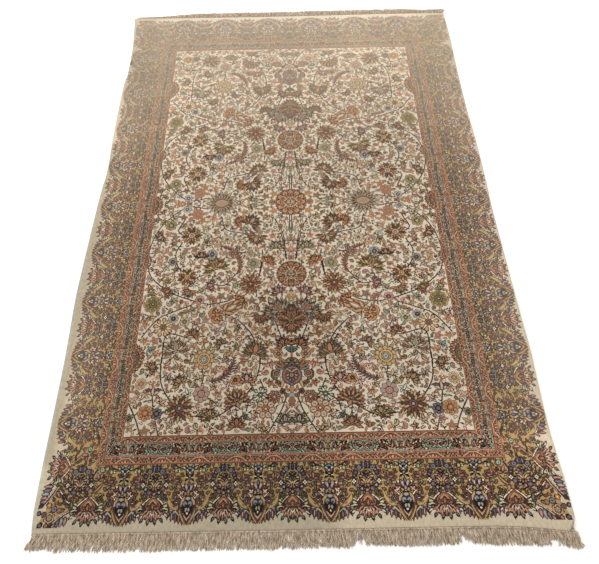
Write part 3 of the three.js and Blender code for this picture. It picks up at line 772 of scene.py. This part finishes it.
def linear(hex_code):
    """An sRGB hex value turned to the linear colour a shader takes."""
    srgb = np.array([int(hex_code[i:i + 2], 16) / 255 for i in (1, 3, 5)])
    flat = np.where(srgb <= 0.04045, srgb / 12.92, ((srgb + 0.055) / 1.055) ** 2.4)
    return (*flat.tolist(), 1.0)


def add(tree, kind, inputs=(), **settings):
    """Adds a node with its settings. Its inputs, in their order or by their names, take a value, or
    a link from a node or a socket."""
    node = tree.nodes.new("ShaderNode" + kind)
    for name, value in settings.items():
        setattr(node, name, value)
    for socket, source in inputs.items() if isinstance(inputs, dict) else enumerate(inputs):
        if isinstance(source, bpy.types.Node):
            source = source.outputs[0]
        if isinstance(source, bpy.types.NodeSocket):
            tree.links.new(source, node.inputs[socket])
        else:
            node.inputs[socket].default_value = source
    return node


def material(name, **sockets):
    """A material of one Principled shader with its constant sockets set."""
    made = bpy.data.materials.new(name)
    made.use_nodes = True
    tree = made.node_tree
    tree.nodes.clear()
    shader = add(tree, "BsdfPrincipled", {name.replace("_", " "): value for name, value in sockets.items()})
    add(tree, "OutputMaterial", (shader,))
    return made, tree, shader


# The chart in the mesh: a square's row of knots is one number in this base, a yarn to each digit
CODE = 32
# Painted sheen, in metres: the far end is painted palest and brightest, as the silk's sheen looks
# there, both long sides a little paler, but not the near end
FAR_SHEEN_START, FAR_SHEEN_END, FAR_SHEEN_MIX, FAR_SHEEN_GAIN = -0.1, 0.97, 0.31, 1.10
SIDE_SHEEN_START, SIDE_SHEEN_END, SIDE_SHEEN_MIX = 0.40, 0.60, 0.12
SIDE_SHEEN_NEAR = (-0.86, -0.55)
PAINTED_SHEEN_COLOUR = "#c8b8a0"
# How uneven the yarns are: waves to a metre across, along and up, detail, and the darkest and
# lightest. Dye lots lie in bands a few centimetres deep, the nap in hands' breadths, and the last
# row is single yarns, drawn at 6 by 11 mm because finer ones don't show
UNEVEN = (((0.7, 14.0, 1.0), 3.0, 0.94, 1.05), ((2.2, 1.6, 1.0), 2.0, 0.92, 1.07),
          ((160.0, 90.0, 1.0), 2.0, 0.88, 1.12))
# Painted light and shade of the nap, in metres: middle, half size and soft edge of each patch, and how light
# it is
PAINTED_NAP_LIGHT = (
    ((-0.17, -0.54, 0.0), (0.25, 0.14), (0.12, 0.12), (0.86, 0.84, 0.82)),
    ((-0.05, -0.28, 0.0), (0.08, 0.12), (0.16, 0.16), (0.91, 0.90, 0.89)),
    ((0.38, -0.82, 0.0), (0.27, 0.09), (0.08, 0.08), (1.22, 1.20, 1.20)),
    ((-0.24, -0.87, 0.0), (0.30, 0.05), (0.06, 0.06), (0.88, 0.88, 0.88)),
    ((-0.55, -0.20, 0.0), (0.06, 0.46), (0.08, 0.26), (1.20, 1.16, 1.15)),   # the left border
    ((0.52, -0.18, 0.0), (0.07, 0.52), (0.05, 0.22), (1.22, 1.18, 1.20)),    # the right border
    ((-0.59, 0.78, 0.0), (0.03, 0.20), (0.06, 0.20), (0.86, 0.86, 0.86)),    # the left border's far end
    ((0.0, 0.87, 0.0), (0.45, 0.05), (0.12, 0.06), (1.08, 1.10, 1.16)),      # the far border
    ((0.33, 0.82, 0.0), (0.12, 0.10), (0.12, 0.14), (1.10, 1.10, 1.10)),
    ((-0.62, -0.25, 0.0), (0.02, 0.50), (0.02, 0.02), (0.78, 0.78, 0.78)),   # the left margin
    ((0.0, 0.945, 0.0), (0.60, 0.01), (0.02, 0.02), (0.76, 0.76, 0.80)),     # the far margin
)
SMOOTH = {"interpolation_type": "SMOOTHSTEP"}


def clipped_silk_pile():
    """Clipped silk pile: knots of yarn in the cartoon's dye colours. Each dye lot is a little uneven
    across the rows, painted light and shade of the nap lies in patches, the far end and the sides are
    painted paler as sheen, and the clipped ends give a soft low sheen."""
    made, tree, shader = material("clipped silk pile", Roughness=0.75, IOR=1.5, Specular_IOR_Level=0.12,
                                  Sheen_Weight=0.16, Sheen_Roughness=0.35, Sheen_Tint=linear("#fff0dc"))
    squares = add(tree, "SeparateXYZ", (add(tree, "UVMap", uv_map="squares"),)).outputs
    place = add(tree, "TexCoord").outputs["Object"]
    across, along, _ = add(tree, "SeparateXYZ", (place,)).outputs

    # which of the square's sixteen knots this is, and the digit that the chart has for it
    spot = [add(tree, "Math", (squares[k],), operation="FRACT") for k in (0, 1)]
    spot = [add(tree, "Math", (spot[k], float(QUAD)), operation="MULTIPLY") for k in (0, 1)]
    column, row = [add(tree, "Math", (spot[k],), operation="FLOOR") for k in (0, 1)]
    code = 0.0
    for k in range(QUAD):
        packed = add(tree, "Attribute", attribute_name=f"knots_{k}").outputs["Fac"]
        mine = add(tree, "Math", (row, float(k), 0.5), operation="COMPARE")
        code = add(tree, "Math", (packed, mine, code), operation="MULTIPLY_ADD")
    power = add(tree, "Math", (float(CODE), column), operation="POWER")
    shifted = add(tree, "Math", (code, power), operation="DIVIDE")
    whole = add(tree, "Math", (shifted,), operation="FLOOR")
    digit = add(tree, "Math", (whole, float(CODE)), operation="MODULO")
    middle = add(tree, "Math", (digit, 1 / CODE, 0.5 / CODE), operation="MULTIPLY_ADD")
    yarn = add(tree, "ValToRGB", (middle,))
    ramp = yarn.color_ramp
    ramp.interpolation = "CONSTANT"
    ramp.elements.remove(ramp.elements[1])
    for k, hex_code in enumerate(YARNS.values()):
        stop = ramp.elements.new(k / CODE) if k else ramp.elements[0]
        stop.position, stop.color = k / CODE, linear(hex_code)

    # painted sheen draws every dye towards a pale straw, at the far end and along the two sides
    sun = add(tree, "MapRange", (along, FAR_SHEEN_START, FAR_SHEEN_END, 0.0, FAR_SHEEN_MIX), **SMOOTH)
    beside = add(tree, "Math", (across,), operation="ABSOLUTE")
    edge = add(tree, "MapRange", (beside, SIDE_SHEEN_START, SIDE_SHEEN_END, 0.0, SIDE_SHEEN_MIX), **SMOOTH)
    side_sheen_gate = add(tree, "MapRange", (along, *SIDE_SHEEN_NEAR), **SMOOTH)
    fade = add(tree, "Math", (edge, side_sheen_gate, sun), operation="MULTIPLY_ADD")
    dye_and_painted_light = add(tree, "Mix", {0: fade, 6: yarn, 7: linear(PAINTED_SHEEN_COLOUR)}, data_type="RGBA").outputs[2]

    shades = []
    for scale, detail, low, high in UNEVEN:
        stretched = add(tree, "Mapping", {"Vector": place, "Scale": scale})
        noise = add(tree, "TexNoise", {"Vector": stretched, "Scale": 1.0, "Detail": detail})
        shades.append(add(tree, "MapRange", (noise, 0.3, 0.7, low, high)))
    # painted light and shade: each patch makes the nap lighter or darker as the light falls on it there
    for middle, half, soft, light in PAINTED_NAP_LIGHT:
        away = add(tree, "VectorMath", (place, middle), operation="SUBTRACT")
        away = add(tree, "VectorMath", (away,), operation="ABSOLUTE")
        away = add(tree, "SeparateXYZ", (away,)).outputs
        inside = [add(tree, "MapRange", (away[k], half[k], half[k] + soft[k], 1.0, 0.0), **SMOOTH)
                  for k in (0, 1)]
        inside = add(tree, "Math", inside, operation="MULTIPLY")
        change = tuple(part - 1.0 for part in light)
        shades.append(add(tree, "VectorMath", (inside, change, (1.0, 1.0, 1.0)), operation="MULTIPLY_ADD"))
    # painted light: the far end is also made brighter, as its sheen looks there
    shades.append(add(tree, "MapRange", (along, FAR_SHEEN_START, FAR_SHEEN_END, 1.0, FAR_SHEEN_GAIN), **SMOOTH))
    for part in shades:
        dye_and_painted_light = add(tree, "VectorMath", (dye_and_painted_light, part), operation="MULTIPLY")
    tree.links.new(dye_and_painted_light.outputs[0], shader.inputs["Base Color"])

    # each knot's clipped end is a low dome, the same sine both ways
    dome = [add(tree, "Math", (squares[k], np.pi * QUAD), operation="MULTIPLY") for k in (0, 1)]
    dome = [add(tree, "Math", (dome[k],), operation="SINE") for k in (0, 1)]
    dome = [add(tree, "Math", (dome[k],), operation="ABSOLUTE") for k in (0, 1)]
    dome = add(tree, "Math", dome, operation="MULTIPLY")
    ends = add(tree, "TexNoise", {"Vector": place, "Scale": 260.0, "Detail": 2.0})   # tufts of 4 mm
    height = add(tree, "Math", (dome, 0.5, ends), operation="MULTIPLY_ADD")
    bump = add(tree, "Bump", {"Height": height, "Strength": 0.35, "Distance": 0.0004})
    tree.links.new(bump.outputs[0], shader.inputs["Normal"])
    return made


def spun_silk(name, light, dark, scale):
    """Undyed spun silk: pale cream with fine dull streaks along the yarn, matt with a faint sheen.
    scale is streaks to a metre: 260 is one to about 4 mm, and 700 a woven thread of 1.4 mm."""
    made, tree, shader = material(name, Roughness=0.8, IOR=1.5, Specular_IOR_Level=0.15,
                                  Sheen_Weight=0.1, Sheen_Roughness=0.4, Sheen_Tint=linear("#fff4e2"))
    place = add(tree, "TexCoord").outputs["Object"]
    stretched = add(tree, "Mapping", {"Vector": place, "Scale": scale})
    noise = add(tree, "TexNoise", {"Vector": stretched, "Scale": 1.0, "Detail": 4.0, "Roughness": 0.6})
    ramp = add(tree, "ValToRGB", (noise,))
    for stop, position, hex_code in zip(ramp.color_ramp.elements, (0.35, 0.62), (dark, light)):
        stop.position, stop.color = position, linear(hex_code)
    tree.links.new(ramp.outputs[0], shader.inputs["Base Color"])
    bump = add(tree, "Bump", {"Height": noise, "Strength": 0.5, "Distance": 0.0005})
    tree.links.new(bump.outputs[0], shader.inputs["Normal"])
    return made


# The shape of the pile, in mm
SQUARE = KNOT * QUAD
PILE_TOP, GROUND_TOP, GROUND_BOTTOM = 7.0, 1.1, 0.15
# How far the ground weave is drawn in, half of its length at first, and the points of its grid
GROUND_INSET, GROUND_HALF, GROUND_GRID = 0.8, 900, (61, 91)
# Rings of the rounded rim: how far in from the outline, and how high
RIM = ((1.6, PILE_TOP), (0.5, 6.55), (0.0, 5.5), (0.0, 1.0), (5.0, 0.9))
RINGS = len(RIM) - 1
CREAM_COLUMNS, CREAM_ROWS = (3, 2), (3, 3)   # squares of plain cream at left and right, near and far
SWELL, SWELL_FADE = 1.1, 60      # long low waves lift the pile this much, and less this near its edge
# Where the outline is drawn in, the outer columns of the design are squeezed to stay this far off it
SQUEEZE_SPARE, SQUEEZE_FROM, SQUEEZE_OVER = 2, 480, 120
SIDES_FROM, NEAR_FROM, FAR_FROM = 585, 898, 900   # the solid's edge points lie beyond these

# How the weaving wanders, in mm: the design's middle line, its spread, and the far half's creep
MIDDLE_NEAR, MIDDLE_FAR = -20.5, -13.0
SPREAD_NEAR, SPREAD_FAR = 0.043, 0.0095
CREEP, CREEP_AT, CREEP_WIDTH = 20.0, 620.0, (200.0, 110.0)
LATE, EASE = 4.0, 120.0          # all of the far half lies this much further on, eased in round the middle
SIDES_LATE = 5.0                 # the side borders lie this much nearer than the field, up to the ends
SIDES_START, SIDES_STOP = (400, 30), (760, 160)       # where that starts across and stops along, and its ease
FLARE, FLARE_DOWN = 9.0, 5.0     # the two near corners were pulled outward, and the right one down
FLARE_ACROSS, FLARE_ALONG = (330, 270), (560, 330)    # where that starts, and over how much it grows


def rise(value, start, over):
    """A straight rise from 0 at start to 1, over so much."""
    return np.clip((value - start) / over, 0, 1)


def woven(c, d):
    """Where a place of the design lies on the floor: the middle line leans, the two halves spread
    by a share that eases along the rug, and the far half's rows creep in one swell, a bell curve of d."""
    share = (d / HALF_LENGTH + 1) / 2
    x = c + MIDDLE_NEAR + (MIDDLE_FAR - MIDDLE_NEAR) * share
    x = x + (SPREAD_NEAR + (SPREAD_FAR - SPREAD_NEAR) * share) * abs(c)
    width = np.where(d < CREEP_AT, *CREEP_WIDTH)
    far = rise(d, -EASE, 2 * EASE)
    near_corner = rise(abs(c), *FLARE_ACROSS) ** 2 * rise(-d, *FLARE_ALONG) ** 2
    y = d + far**2 * (3 - 2 * far) * (LATE + CREEP * np.exp(-((d - CREEP_AT) / width) ** 2))
    stop, ease = SIDES_STOP
    beside = rise(abs(c), *SIDES_START) * rise(-abs(d), -stop, ease)
    return x + np.sign(c) * FLARE * near_corner, y - FLARE_DOWN * near_corner * (c > 0) - SIDES_LATE * beside


def outline():
    """The pile's four edges as the frame has them: x of the two sides by y, and y of the ends by x."""
    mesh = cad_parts["pile_body"].data
    co = np.empty(len(mesh.vertices) * 3, np.float32)
    mesh.vertices.foreach_get("co", co)
    x, y, z = co.reshape(-1, 3).T * 1000
    x, y = x[z < 0.5], y[z < 0.5]
    edges = {}
    for name, outer, start, by, of in (("left", -1, SIDES_FROM, y, x), ("right", 1, SIDES_FROM, y, x),
                                       ("near", -1, NEAR_FROM, x, y), ("far", 1, FAR_FROM, x, y)):
        chosen = outer * of > start
        key, value = np.round(by[chosen]), of[chosen]
        order = np.lexsort((-outer * value, key))
        key, value = key[order], value[order]
        first = np.concatenate(([True], np.diff(key) > 0))
        edges[name] = key[first], value[first]
    return edges


def mesh_piece(name, places, faces, material):
    """A new object at the origin from places in mm and whole arrays of faces."""
    mesh = bpy.data.meshes.new(name)
    mesh.from_pydata((np.reshape(places, (-1, 3)) / 1000).tolist(), [], np.reshape(faces, (-1, 4)).tolist())
    mesh.polygons.foreach_set("use_smooth", np.ones(len(mesh.polygons), bool))
    mesh.materials.append(material)
    mesh.update()
    piece = bpy.data.objects.new(name, mesh)
    bpy.context.scene.collection.objects.link(piece)
    return piece


def grid_faces(rows, cols, first=0):
    """The faces of a grid of points, row by row."""
    corner = first + np.arange(rows - 1)[:, None] * cols + np.arange(cols - 1)[None]
    return np.stack([corner, corner + 1, corner + cols + 1, corner + cols], -1)


def swell(x, y):
    """How far the pile is lifted, as the rug lay rolled: a sine across times a sine along, each bent
    a little by the other, and half as much of a shorter sine."""
    wave = np.sin(x / 170 + 0.6 * np.sin(y / 310)) * np.sin(y / 240 + 1.0) + 0.5 * np.sin(y / 95 + x / 400)
    return SWELL * (1 + wave / 1.5) / 2


def stations(count, before, after, half_size):
    """Along one way of the pile's grid: the design place, how far past the design from 0 to 1,
    which ring of the rim, and on which side of the middle."""
    k = np.arange(count + 1) - RINGS - before
    inner = count - 2 * RINGS - before - after
    place = np.clip(k, 0, inner) * SQUARE - half_size
    past = np.where(k < 0, -k / before, np.where(k > inner, (k - inner) / after, 0))
    ring = np.where(k < -before, -k - before, np.where(k > inner + after, k - inner - after, 0))
    return place, np.clip(past, 0, 1), ring, np.sign(k - inner / 2)


def pile(edges, material):
    """The knotted face: a grid of squares over the whole design, each square four knots by four.

    Its places are woven(c, d); past the design the squares fill up to the frame's outline, and the
    rings of RIM then turn over the clipped edge and down to the ground weave.
    """
    chart = quarter()
    half = np.hstack([chart[:, ::-1], chart])
    knots = np.vstack([half[::-1], half])          # near end first, because near and far mirror
    (left, right), (near, far) = CREAM_COLUMNS, CREAM_ROWS
    pads = ((near + RINGS, far + RINGS), (left + RINGS, right + RINGS))
    knots = np.pad(knots, [[n * QUAD for n in side] for side in pads], constant_values=NAMES.index("cream"))
    knots[:, :(RINGS + 1) * QUAD] = NAMES.index("mist")    # painted shade: the left edge takes the pale grey mist yarn, the colour of that edge in shade
    ny, nx = knots.shape[0] // QUAD, knots.shape[1] // QUAD
    by_column, by_row = stations(nx, left, right, HALF_WIDTH), stations(ny, near, far, HALF_LENGTH)
    (c, d), (past_c, past_d), (ring_c, ring_d), (side_c, side_d) = map(np.meshgrid, by_column, by_row)
    x0, y0 = x, y = woven(c, d)
    insets, heights = np.array(RIM).T
    # three turns settle where the outline is, because each edge is read at the other's place
    for _ in range(3):
        x_edge = np.where(side_c < 0, np.interp(y, *edges["left"]), np.interp(y, *edges["right"]))
        y_edge = np.where(side_d < 0, np.interp(x, *edges["near"]), np.interp(x, *edges["far"]))
        over = (abs(x0) + SQUEEZE_SPARE - abs(x_edge)) * (past_c == 0)
        squeeze = np.maximum(0, over) * rise(abs(x0), SQUEEZE_FROM, SQUEEZE_OVER)
        x = np.where(past_c > 0, x0 + past_c * (x_edge - side_c * insets[ring_c] - x0), x0 - side_c * squeeze)
        y = np.where(past_d > 0, y0 + past_d * (y_edge - side_d * insets[ring_d] - y0), y0)
    z = np.minimum(heights[ring_c], heights[ring_d])
    fade = rise(np.minimum(abs(x_edge - x), abs(y_edge - y)), 0, SWELL_FADE)
    z = z + swell(x, y) * fade * (z == PILE_TOP)
    # the two lowest rings run on under the pile, and would only cross each other at the corners
    keep = ~((ring_c[:-1, :-1] + ring_c[1:, 1:] > 3) & (ring_d[:-1, :-1] + ring_d[1:, 1:] > 3))
    piece = mesh_piece("pile", np.stack([x, y, z], -1), grid_faces(ny + 1, nx + 1)[keep], material)
    mesh = piece.data
    blocks = knots.reshape(ny, QUAD, nx, QUAD).astype(np.float64)
    for row in range(QUAD):
        packed = sum(blocks[:, row, :, k] * CODE**k for k in range(QUAD))
        mesh.attributes.new(f"knots_{row}", "FLOAT", "FACE").data.foreach_set("value", packed[keep])
    corner = np.empty(len(mesh.loops), np.int32)
    mesh.loops.foreach_get("vertex_index", corner)
    uv = np.stack([corner % (nx + 1), corner // (nx + 1)], -1).astype(np.float32)
    mesh.uv_layers.new(name="squares").data.foreach_set("uv", uv.ravel())
    mesh.uv_layers.new(name="OFBake").data.foreach_set("uv", (uv / (nx, ny)).astype(np.float32).ravel())
    return piece


# The fringe, in mm: rows of place along the end, which way the yarns lie from straight out, and
# how long they are, by the near end's and the far end's own lie
NEAR_LIE = ((-606, -20, 33), (-570, -34, 36), (-500, -40, 38), (-400, -34, 38), (-300, -14, 37),
            (-150, 6, 37), (-70, 2, 38), (0, 30, 38), (60, 24, 37), (110, 2, 36), (124, -4, 34),
            (146, 16, 33), (180, 20, 35), (240, 4, 37), (300, 26, 37), (345, 14, 33), (368, 24, 34),
            (430, 12, 38), (480, 24, 38), (540, 14, 34), (580, 22, 34), (614, -6, 31))
FAR_LIE = ((-624, -10, 7), (-560, -14, 12), (-480, -8, 22), (-400, 4, 34), (-250, 12, 37), (-60, -10, 36),
           (120, 8, 38), (300, -8, 37), (430, 6, 36), (520, -6, 30), (594, 12, 33))
NEAR_GAPS = (124, 352, 556)      # where bundles part and the floor shows
# How wide a gap is, how far the yarns beside it turn away, how much shorter they are, and how near
GAP_WIDTH, GAP_TURN, GAP_SHORTER, GAP_NEAR = 16, 46, 0.5, 2.4
KNOT_PITCH = 6.4                 # from one knotted bundle of warps to the next
YARNS_EACH = 8                   # plied yarns that show in a bundle
YARN_RADIUS = 0.95
YARN_RINGS, YARN_SIDES = 9, 4
YARN_TIP = 0.35                  # how narrow a yarn ends
YARN_LENGTHS, YARN_STRAY = (0.9, 1.06), 2.6           # of its bundle's length, and from its middle
CLUMPS = 0.35                    # how often a new clump of bundles starts, that lean alike
CLUMP_LEAN, BUNDLE_LEAN, YARN_LEAN, YARN_BEND = 6, 3, 8, 20   # degrees that each strays by
WAVE, LAID_UP = 0.32, (0.2, 2.6)  # how far yarns turn aside in waves, and how high they lie on others
KNOT_SIZE, KNOT_HEIGHT = (2.0, 1.7, 1.3), 1.75
# The woven strip's section, out from the pile and up, with one rib to each 3.2 mm along the end
STRIP_GAP, STRIP_WIDTH = 0.35, 6.0
STRIP_SECTION = ((0.0, 0.2), (0.0, 5.4), (0.6, 6.0), (2.2, 5.2), (4.2, 3.4), (STRIP_WIDTH, 1.6),
                 (STRIP_WIDTH, 0.2))
STRIP_STATIONS, RIB_HEIGHT, RIB_PITCH = 420, 0.18, 3.2


def yarns(edge, lie, sign, gaps, seed):
    """Centre lines of every yarn of one end, whole arrays of yarn by ring by xyz.

    A bundle leaves the strip at its knot, swings to the end's lie, and its yarns spread, wave by a
    sine of their length and drop from the knot to the floor, over or under one another.
    """
    draw = np.random.default_rng(seed)
    place, lean, reach = np.array(lie, float).T
    start, stop = place[0] + 4, place[-1] - 4
    count = int((stop - start) / KNOT_PITCH)
    root = np.linspace(start, stop, count) + draw.uniform(-0.8, 0.8, count)
    clump = np.cumsum(draw.random(count) < CLUMPS)
    shared = draw.normal(0, 1, clump.max() + 1)[clump]
    turn = np.interp(root, place, lean) + CLUMP_LEAN * shared + draw.normal(0, BUNDLE_LEAN, count)
    length = 0.93 * np.interp(root, place, reach) * (1 + 0.02 * shared)
    for gap in gaps:
        near = (root - gap) / GAP_WIDTH
        turn = turn + GAP_TURN * near * np.exp(-near**2)
        length = length * (1 - GAP_SHORTER * np.exp(-(GAP_NEAR * near)**2))
    n = count * YARNS_EACH
    root, turn, length = (np.repeat(values, YARNS_EACH) for values in (root, turn, length))
    turn = turn + draw.normal(0, YARN_LEAN, n)
    length = length * draw.uniform(*YARN_LENGTHS, n)
    root = root + draw.uniform(-YARN_STRAY, YARN_STRAY, n)
    t = np.linspace(0, 1, YARN_RINGS)[None]
    swing = np.radians(turn)[:, None] * np.clip(t * 2.2, 0, 1) ** 0.8
    bend = np.radians(draw.normal(0, YARN_BEND, n))[:, None] * t
    wave = WAVE * np.sin(2 * np.pi * (t * draw.uniform(1, 2.2, n)[:, None] + draw.random(n)[:, None]))
    angle, step = swing + bend + wave, length[:, None] / (YARN_RINGS - 1)
    dx, dy = np.sin(angle) * step, np.cos(angle) * step
    x = root[:, None] + np.cumsum(dx, 1) - dx[:, :1]
    out = STRIP_GAP + STRIP_WIDTH - 1.5 + np.cumsum(dy, 1) - dy[:, :1]
    layer = draw.uniform(*LAID_UP, n)[:, None] * np.sin(np.pi * np.clip(t * 0.9 + 0.1, 0, 1)) ** 0.6
    z = YARN_RADIUS + 0.15 + (1.5 - 0.9 * t) * np.clip(1 - t * 1.4, 0, 1) + layer
    return np.stack([x, np.interp(x[:, :1], *edge) + sign * out, z], -1)


def tube_faces(count, rings, sides):
    """The faces of so many tubes: each joins the points of a ring to those of the next, all round."""
    tube = np.arange(count)[:, None, None] * rings * sides
    ring, j = np.arange(rings - 1)[None, :, None] * sides, np.arange(sides)[None, None]
    a, b = tube + ring + j, tube + ring + (j + 1) % sides
    return np.stack([a, b, b + sides, a + sides], -1).reshape(-1, 4)


def round_yarns(lines):
    """Round yarns along centre lines: at every ring the section's points stand round the line, on
    the axes across it and up; the last ring narrows, and four-sided caps close both ends."""
    along = np.gradient(lines, axis=1)
    along /= np.linalg.norm(along, axis=-1, keepdims=True) + 1e-9
    across = np.cross(along, (0.0, 0.0, 1.0))
    across /= np.linalg.norm(across, axis=-1, keepdims=True) + 1e-9
    up = np.cross(across, along)
    taper = np.ones(YARN_RINGS)
    taper[-1] = YARN_TIP
    phase = np.arange(YARN_SIDES) * 2 * np.pi / YARN_SIDES + np.pi / 4
    around = across[:, :, None] * np.cos(phase)[:, None] + up[:, :, None] * np.sin(phase)[:, None]
    places = lines[:, :, None] + around * (YARN_RADIUS * taper)[None, :, None, None]
    first = np.arange(len(lines))[:, None] * YARN_RINGS * YARN_SIDES
    sides = np.arange(YARN_SIDES)[None]
    caps = [first + sides[:, ::-1], first + (YARN_RINGS - 1) * YARN_SIDES + sides]
    return places.reshape(-1, 3), np.vstack([tube_faces(len(lines), YARN_RINGS, YARN_SIDES)] + caps)


def strip(edge, lie, sign):
    """The flat woven strip: a ribbed band that slopes from the pile's end down to the fringe, its
    section carried along the end, closed underneath."""
    x = np.linspace(lie[0][0], lie[-1][0], STRIP_STATIONS)[:, None]
    out, z = np.array(STRIP_SECTION).T
    y = np.interp(x, *edge) + sign * (STRIP_GAP + out)
    ribs = RIB_HEIGHT * np.sin(x * 2 * np.pi / RIB_PITCH) * (z > 1)
    faces = tube_faces(1, *y.shape)
    return np.stack([x + 0 * y, y, z + ribs], -1).reshape(-1, 3), faces[:, ::-1] if sign < 0 else faces


def knots_of(lines):
    """The small knot that ties each bundle against the strip: a squat ball, as a surface of two angles."""
    centre = lines[::YARNS_EACH, 0]
    lat, lon = np.meshgrid(np.linspace(-np.pi / 2, np.pi / 2, 5), np.arange(6) * np.pi / 3, indexing="ij")
    ball = np.stack([np.cos(lat) * np.cos(lon), np.cos(lat) * np.sin(lon), np.sin(lat)], -1) * KNOT_SIZE
    places = centre[:, None, None] * (1, 1, 0) + ball + (0, 0, KNOT_HEIGHT)
    return places.reshape(-1, 3), tube_faces(len(centre), *lat.shape)


def fringe(name, edge, lie, sign, gaps, seed, finish):
    """One end's strip, yarns and knots as one piece."""
    lines = yarns(edge, lie, sign, gaps, seed)
    places, faces = zip(strip(edge, lie, sign), round_yarns(lines), knots_of(lines))
    firsts = np.cumsum([0] + [len(part) for part in places[:-1]])
    faces = [part + first for part, first in zip(faces, firsts)]
    return mesh_piece(name, np.vstack(places), np.vstack(faces), finish)


def ground_weave(edges, finish):
    """The woven ground under the pile, as a thin slab that fills the outline: its top and bottom are
    grids from side to side, drawn in a little from the edge, and its walls join them."""
    u, v = np.meshgrid(*(np.linspace(0, 1, points) for points in GROUND_GRID))
    y = GROUND_HALF * (2 * v - 1)
    for _ in range(4):
        left = np.interp(y, *edges["left"]) + GROUND_INSET
        right = np.interp(y, *edges["right"]) - GROUND_INSET
        x = left + (right - left) * u
        near = np.interp(x, *edges["near"]) + GROUND_INSET
        far = np.interp(x, *edges["far"]) - GROUND_INSET
        y = near + (far - near) * v
    rows, cols = x.shape
    bottom = np.stack([x, y, 0 * x + GROUND_BOTTOM], -1).reshape(-1, 3)
    top = bottom + (0, 0, GROUND_TOP - GROUND_BOTTOM)
    n = rows * cols
    around = np.concatenate([np.arange(cols), np.arange(1, rows) * cols + cols - 1,
                             np.arange(n - 2, n - cols - 1, -1), np.arange(rows - 2, 0, -1) * cols])
    after = np.roll(around, -1)
    walls = np.stack([around, after, after + n, around + n], -1)
    under, over = grid_faces(rows, cols).reshape(-1, 4)[:, ::-1], grid_faces(rows, cols, n).reshape(-1, 4)
    return mesh_piece("ground_weave", np.vstack([bottom, top]), np.vstack([under, over, walls]), finish)


# The light and the camera, in metres, radians and watts: name, place, aim, size and power of a lamp
SKY, SKY_STRENGTH = "#fbf8f3", 0.85
LAMPS = (("far_window", (-0.4, 2.6, 2.2), (0.0, 0.6, 0.0), 2.4, 80.0),
         ("room_fill", (-1.5, -1.6, 2.8), (0.0, -0.3, 0.0), 2.5, 30.0))
SENSOR = 36.0
LENS = 504 / 599 * 36            # a focal length of 504 pixels in a picture 599 wide
EYE, EYE_TURN = (0.0064, -0.951, 1.2611), (0.4917, 0.0101, -0.018)
FLOOR_X, FLOOR_Y, FLOOR_TOP = (-6000, 6000), (-5000, 7000), -0.3   # mm


def stage():
    """A plain pale floor, a wide soft lamp past the far end and an even sky, and the camera."""
    # matt floor paint: pale and even, without gloss, so that it shows the rug's soft shadow alone
    floor_paint, _, _ = material("matt pale floor", Base_Color=linear("#f4f4f2"), Roughness=0.9)
    x, y = np.meshgrid(np.linspace(*FLOOR_X, 5), np.linspace(*FLOOR_Y, 5))
    floor = mesh_piece("floor", np.stack([x, y, 0 * x + FLOOR_TOP], -1), grid_faces(5, 5), floor_paint)
    scene = bpy.context.scene
    scene.world = bpy.data.worlds.new("even sky")
    scene.world.use_nodes = True
    light = scene.world.node_tree.nodes["Background"].inputs
    light["Color"].default_value, light["Strength"].default_value = linear(SKY), SKY_STRENGTH
    for name, place, aim, size, power in LAMPS:
        lamp = bpy.data.lights.new(name, "AREA")
        lamp.shape, lamp.size, lamp.energy = "DISK", size, power
        lit = bpy.data.objects.new(name, lamp)
        lit.location = place
        east, north, up = np.subtract(aim, place)
        lit.rotation_euler = (float(np.arctan2(np.hypot(east, north), -up)), 0.0,
                              float(np.arctan2(north, east) - np.pi / 2))
        scene.collection.objects.link(lit)
    scene.view_settings.view_transform = "Standard"
    lens = bpy.data.cameras.new("camera")
    lens.lens, lens.sensor_width, lens.clip_end = LENS, SENSOR, 50.0
    eye = bpy.data.objects.new("camera", lens)
    eye.location, eye.rotation_euler = EYE, EYE_TURN
    scene.collection.objects.link(eye)
    scene.camera = eye


def make():
    """Every piece of the rug, on its body, in place of its solid."""
    edges = outline()
    stage()
    face = pile(edges, clipped_silk_pile())
    warp = spun_silk("spun silk warp", "#c4b39e", "#7d6c59", (260.0, 60.0, 260.0))
    ground = ground_weave(edges, spun_silk("woven silk ground", "#cdbf9f", "#8d7c60", (700.0, 700.0, 700.0)))
    near = fringe("near_fringe", edges["near"], NEAR_LIE, -1, NEAR_GAPS, 11, warp)
    far = fringe("far_fringe", edges["far"], FAR_LIE, 1, (), 12, warp)
    for piece, node, slot in ((face, "pile_body", "silk_pile"), (ground, "pile_body", "silk_pile"),
                              (near, "fringe_near", "warp_silk"), (far, "fringe_far", "warp_silk")):
        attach(piece, "root")
        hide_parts(node)


make()
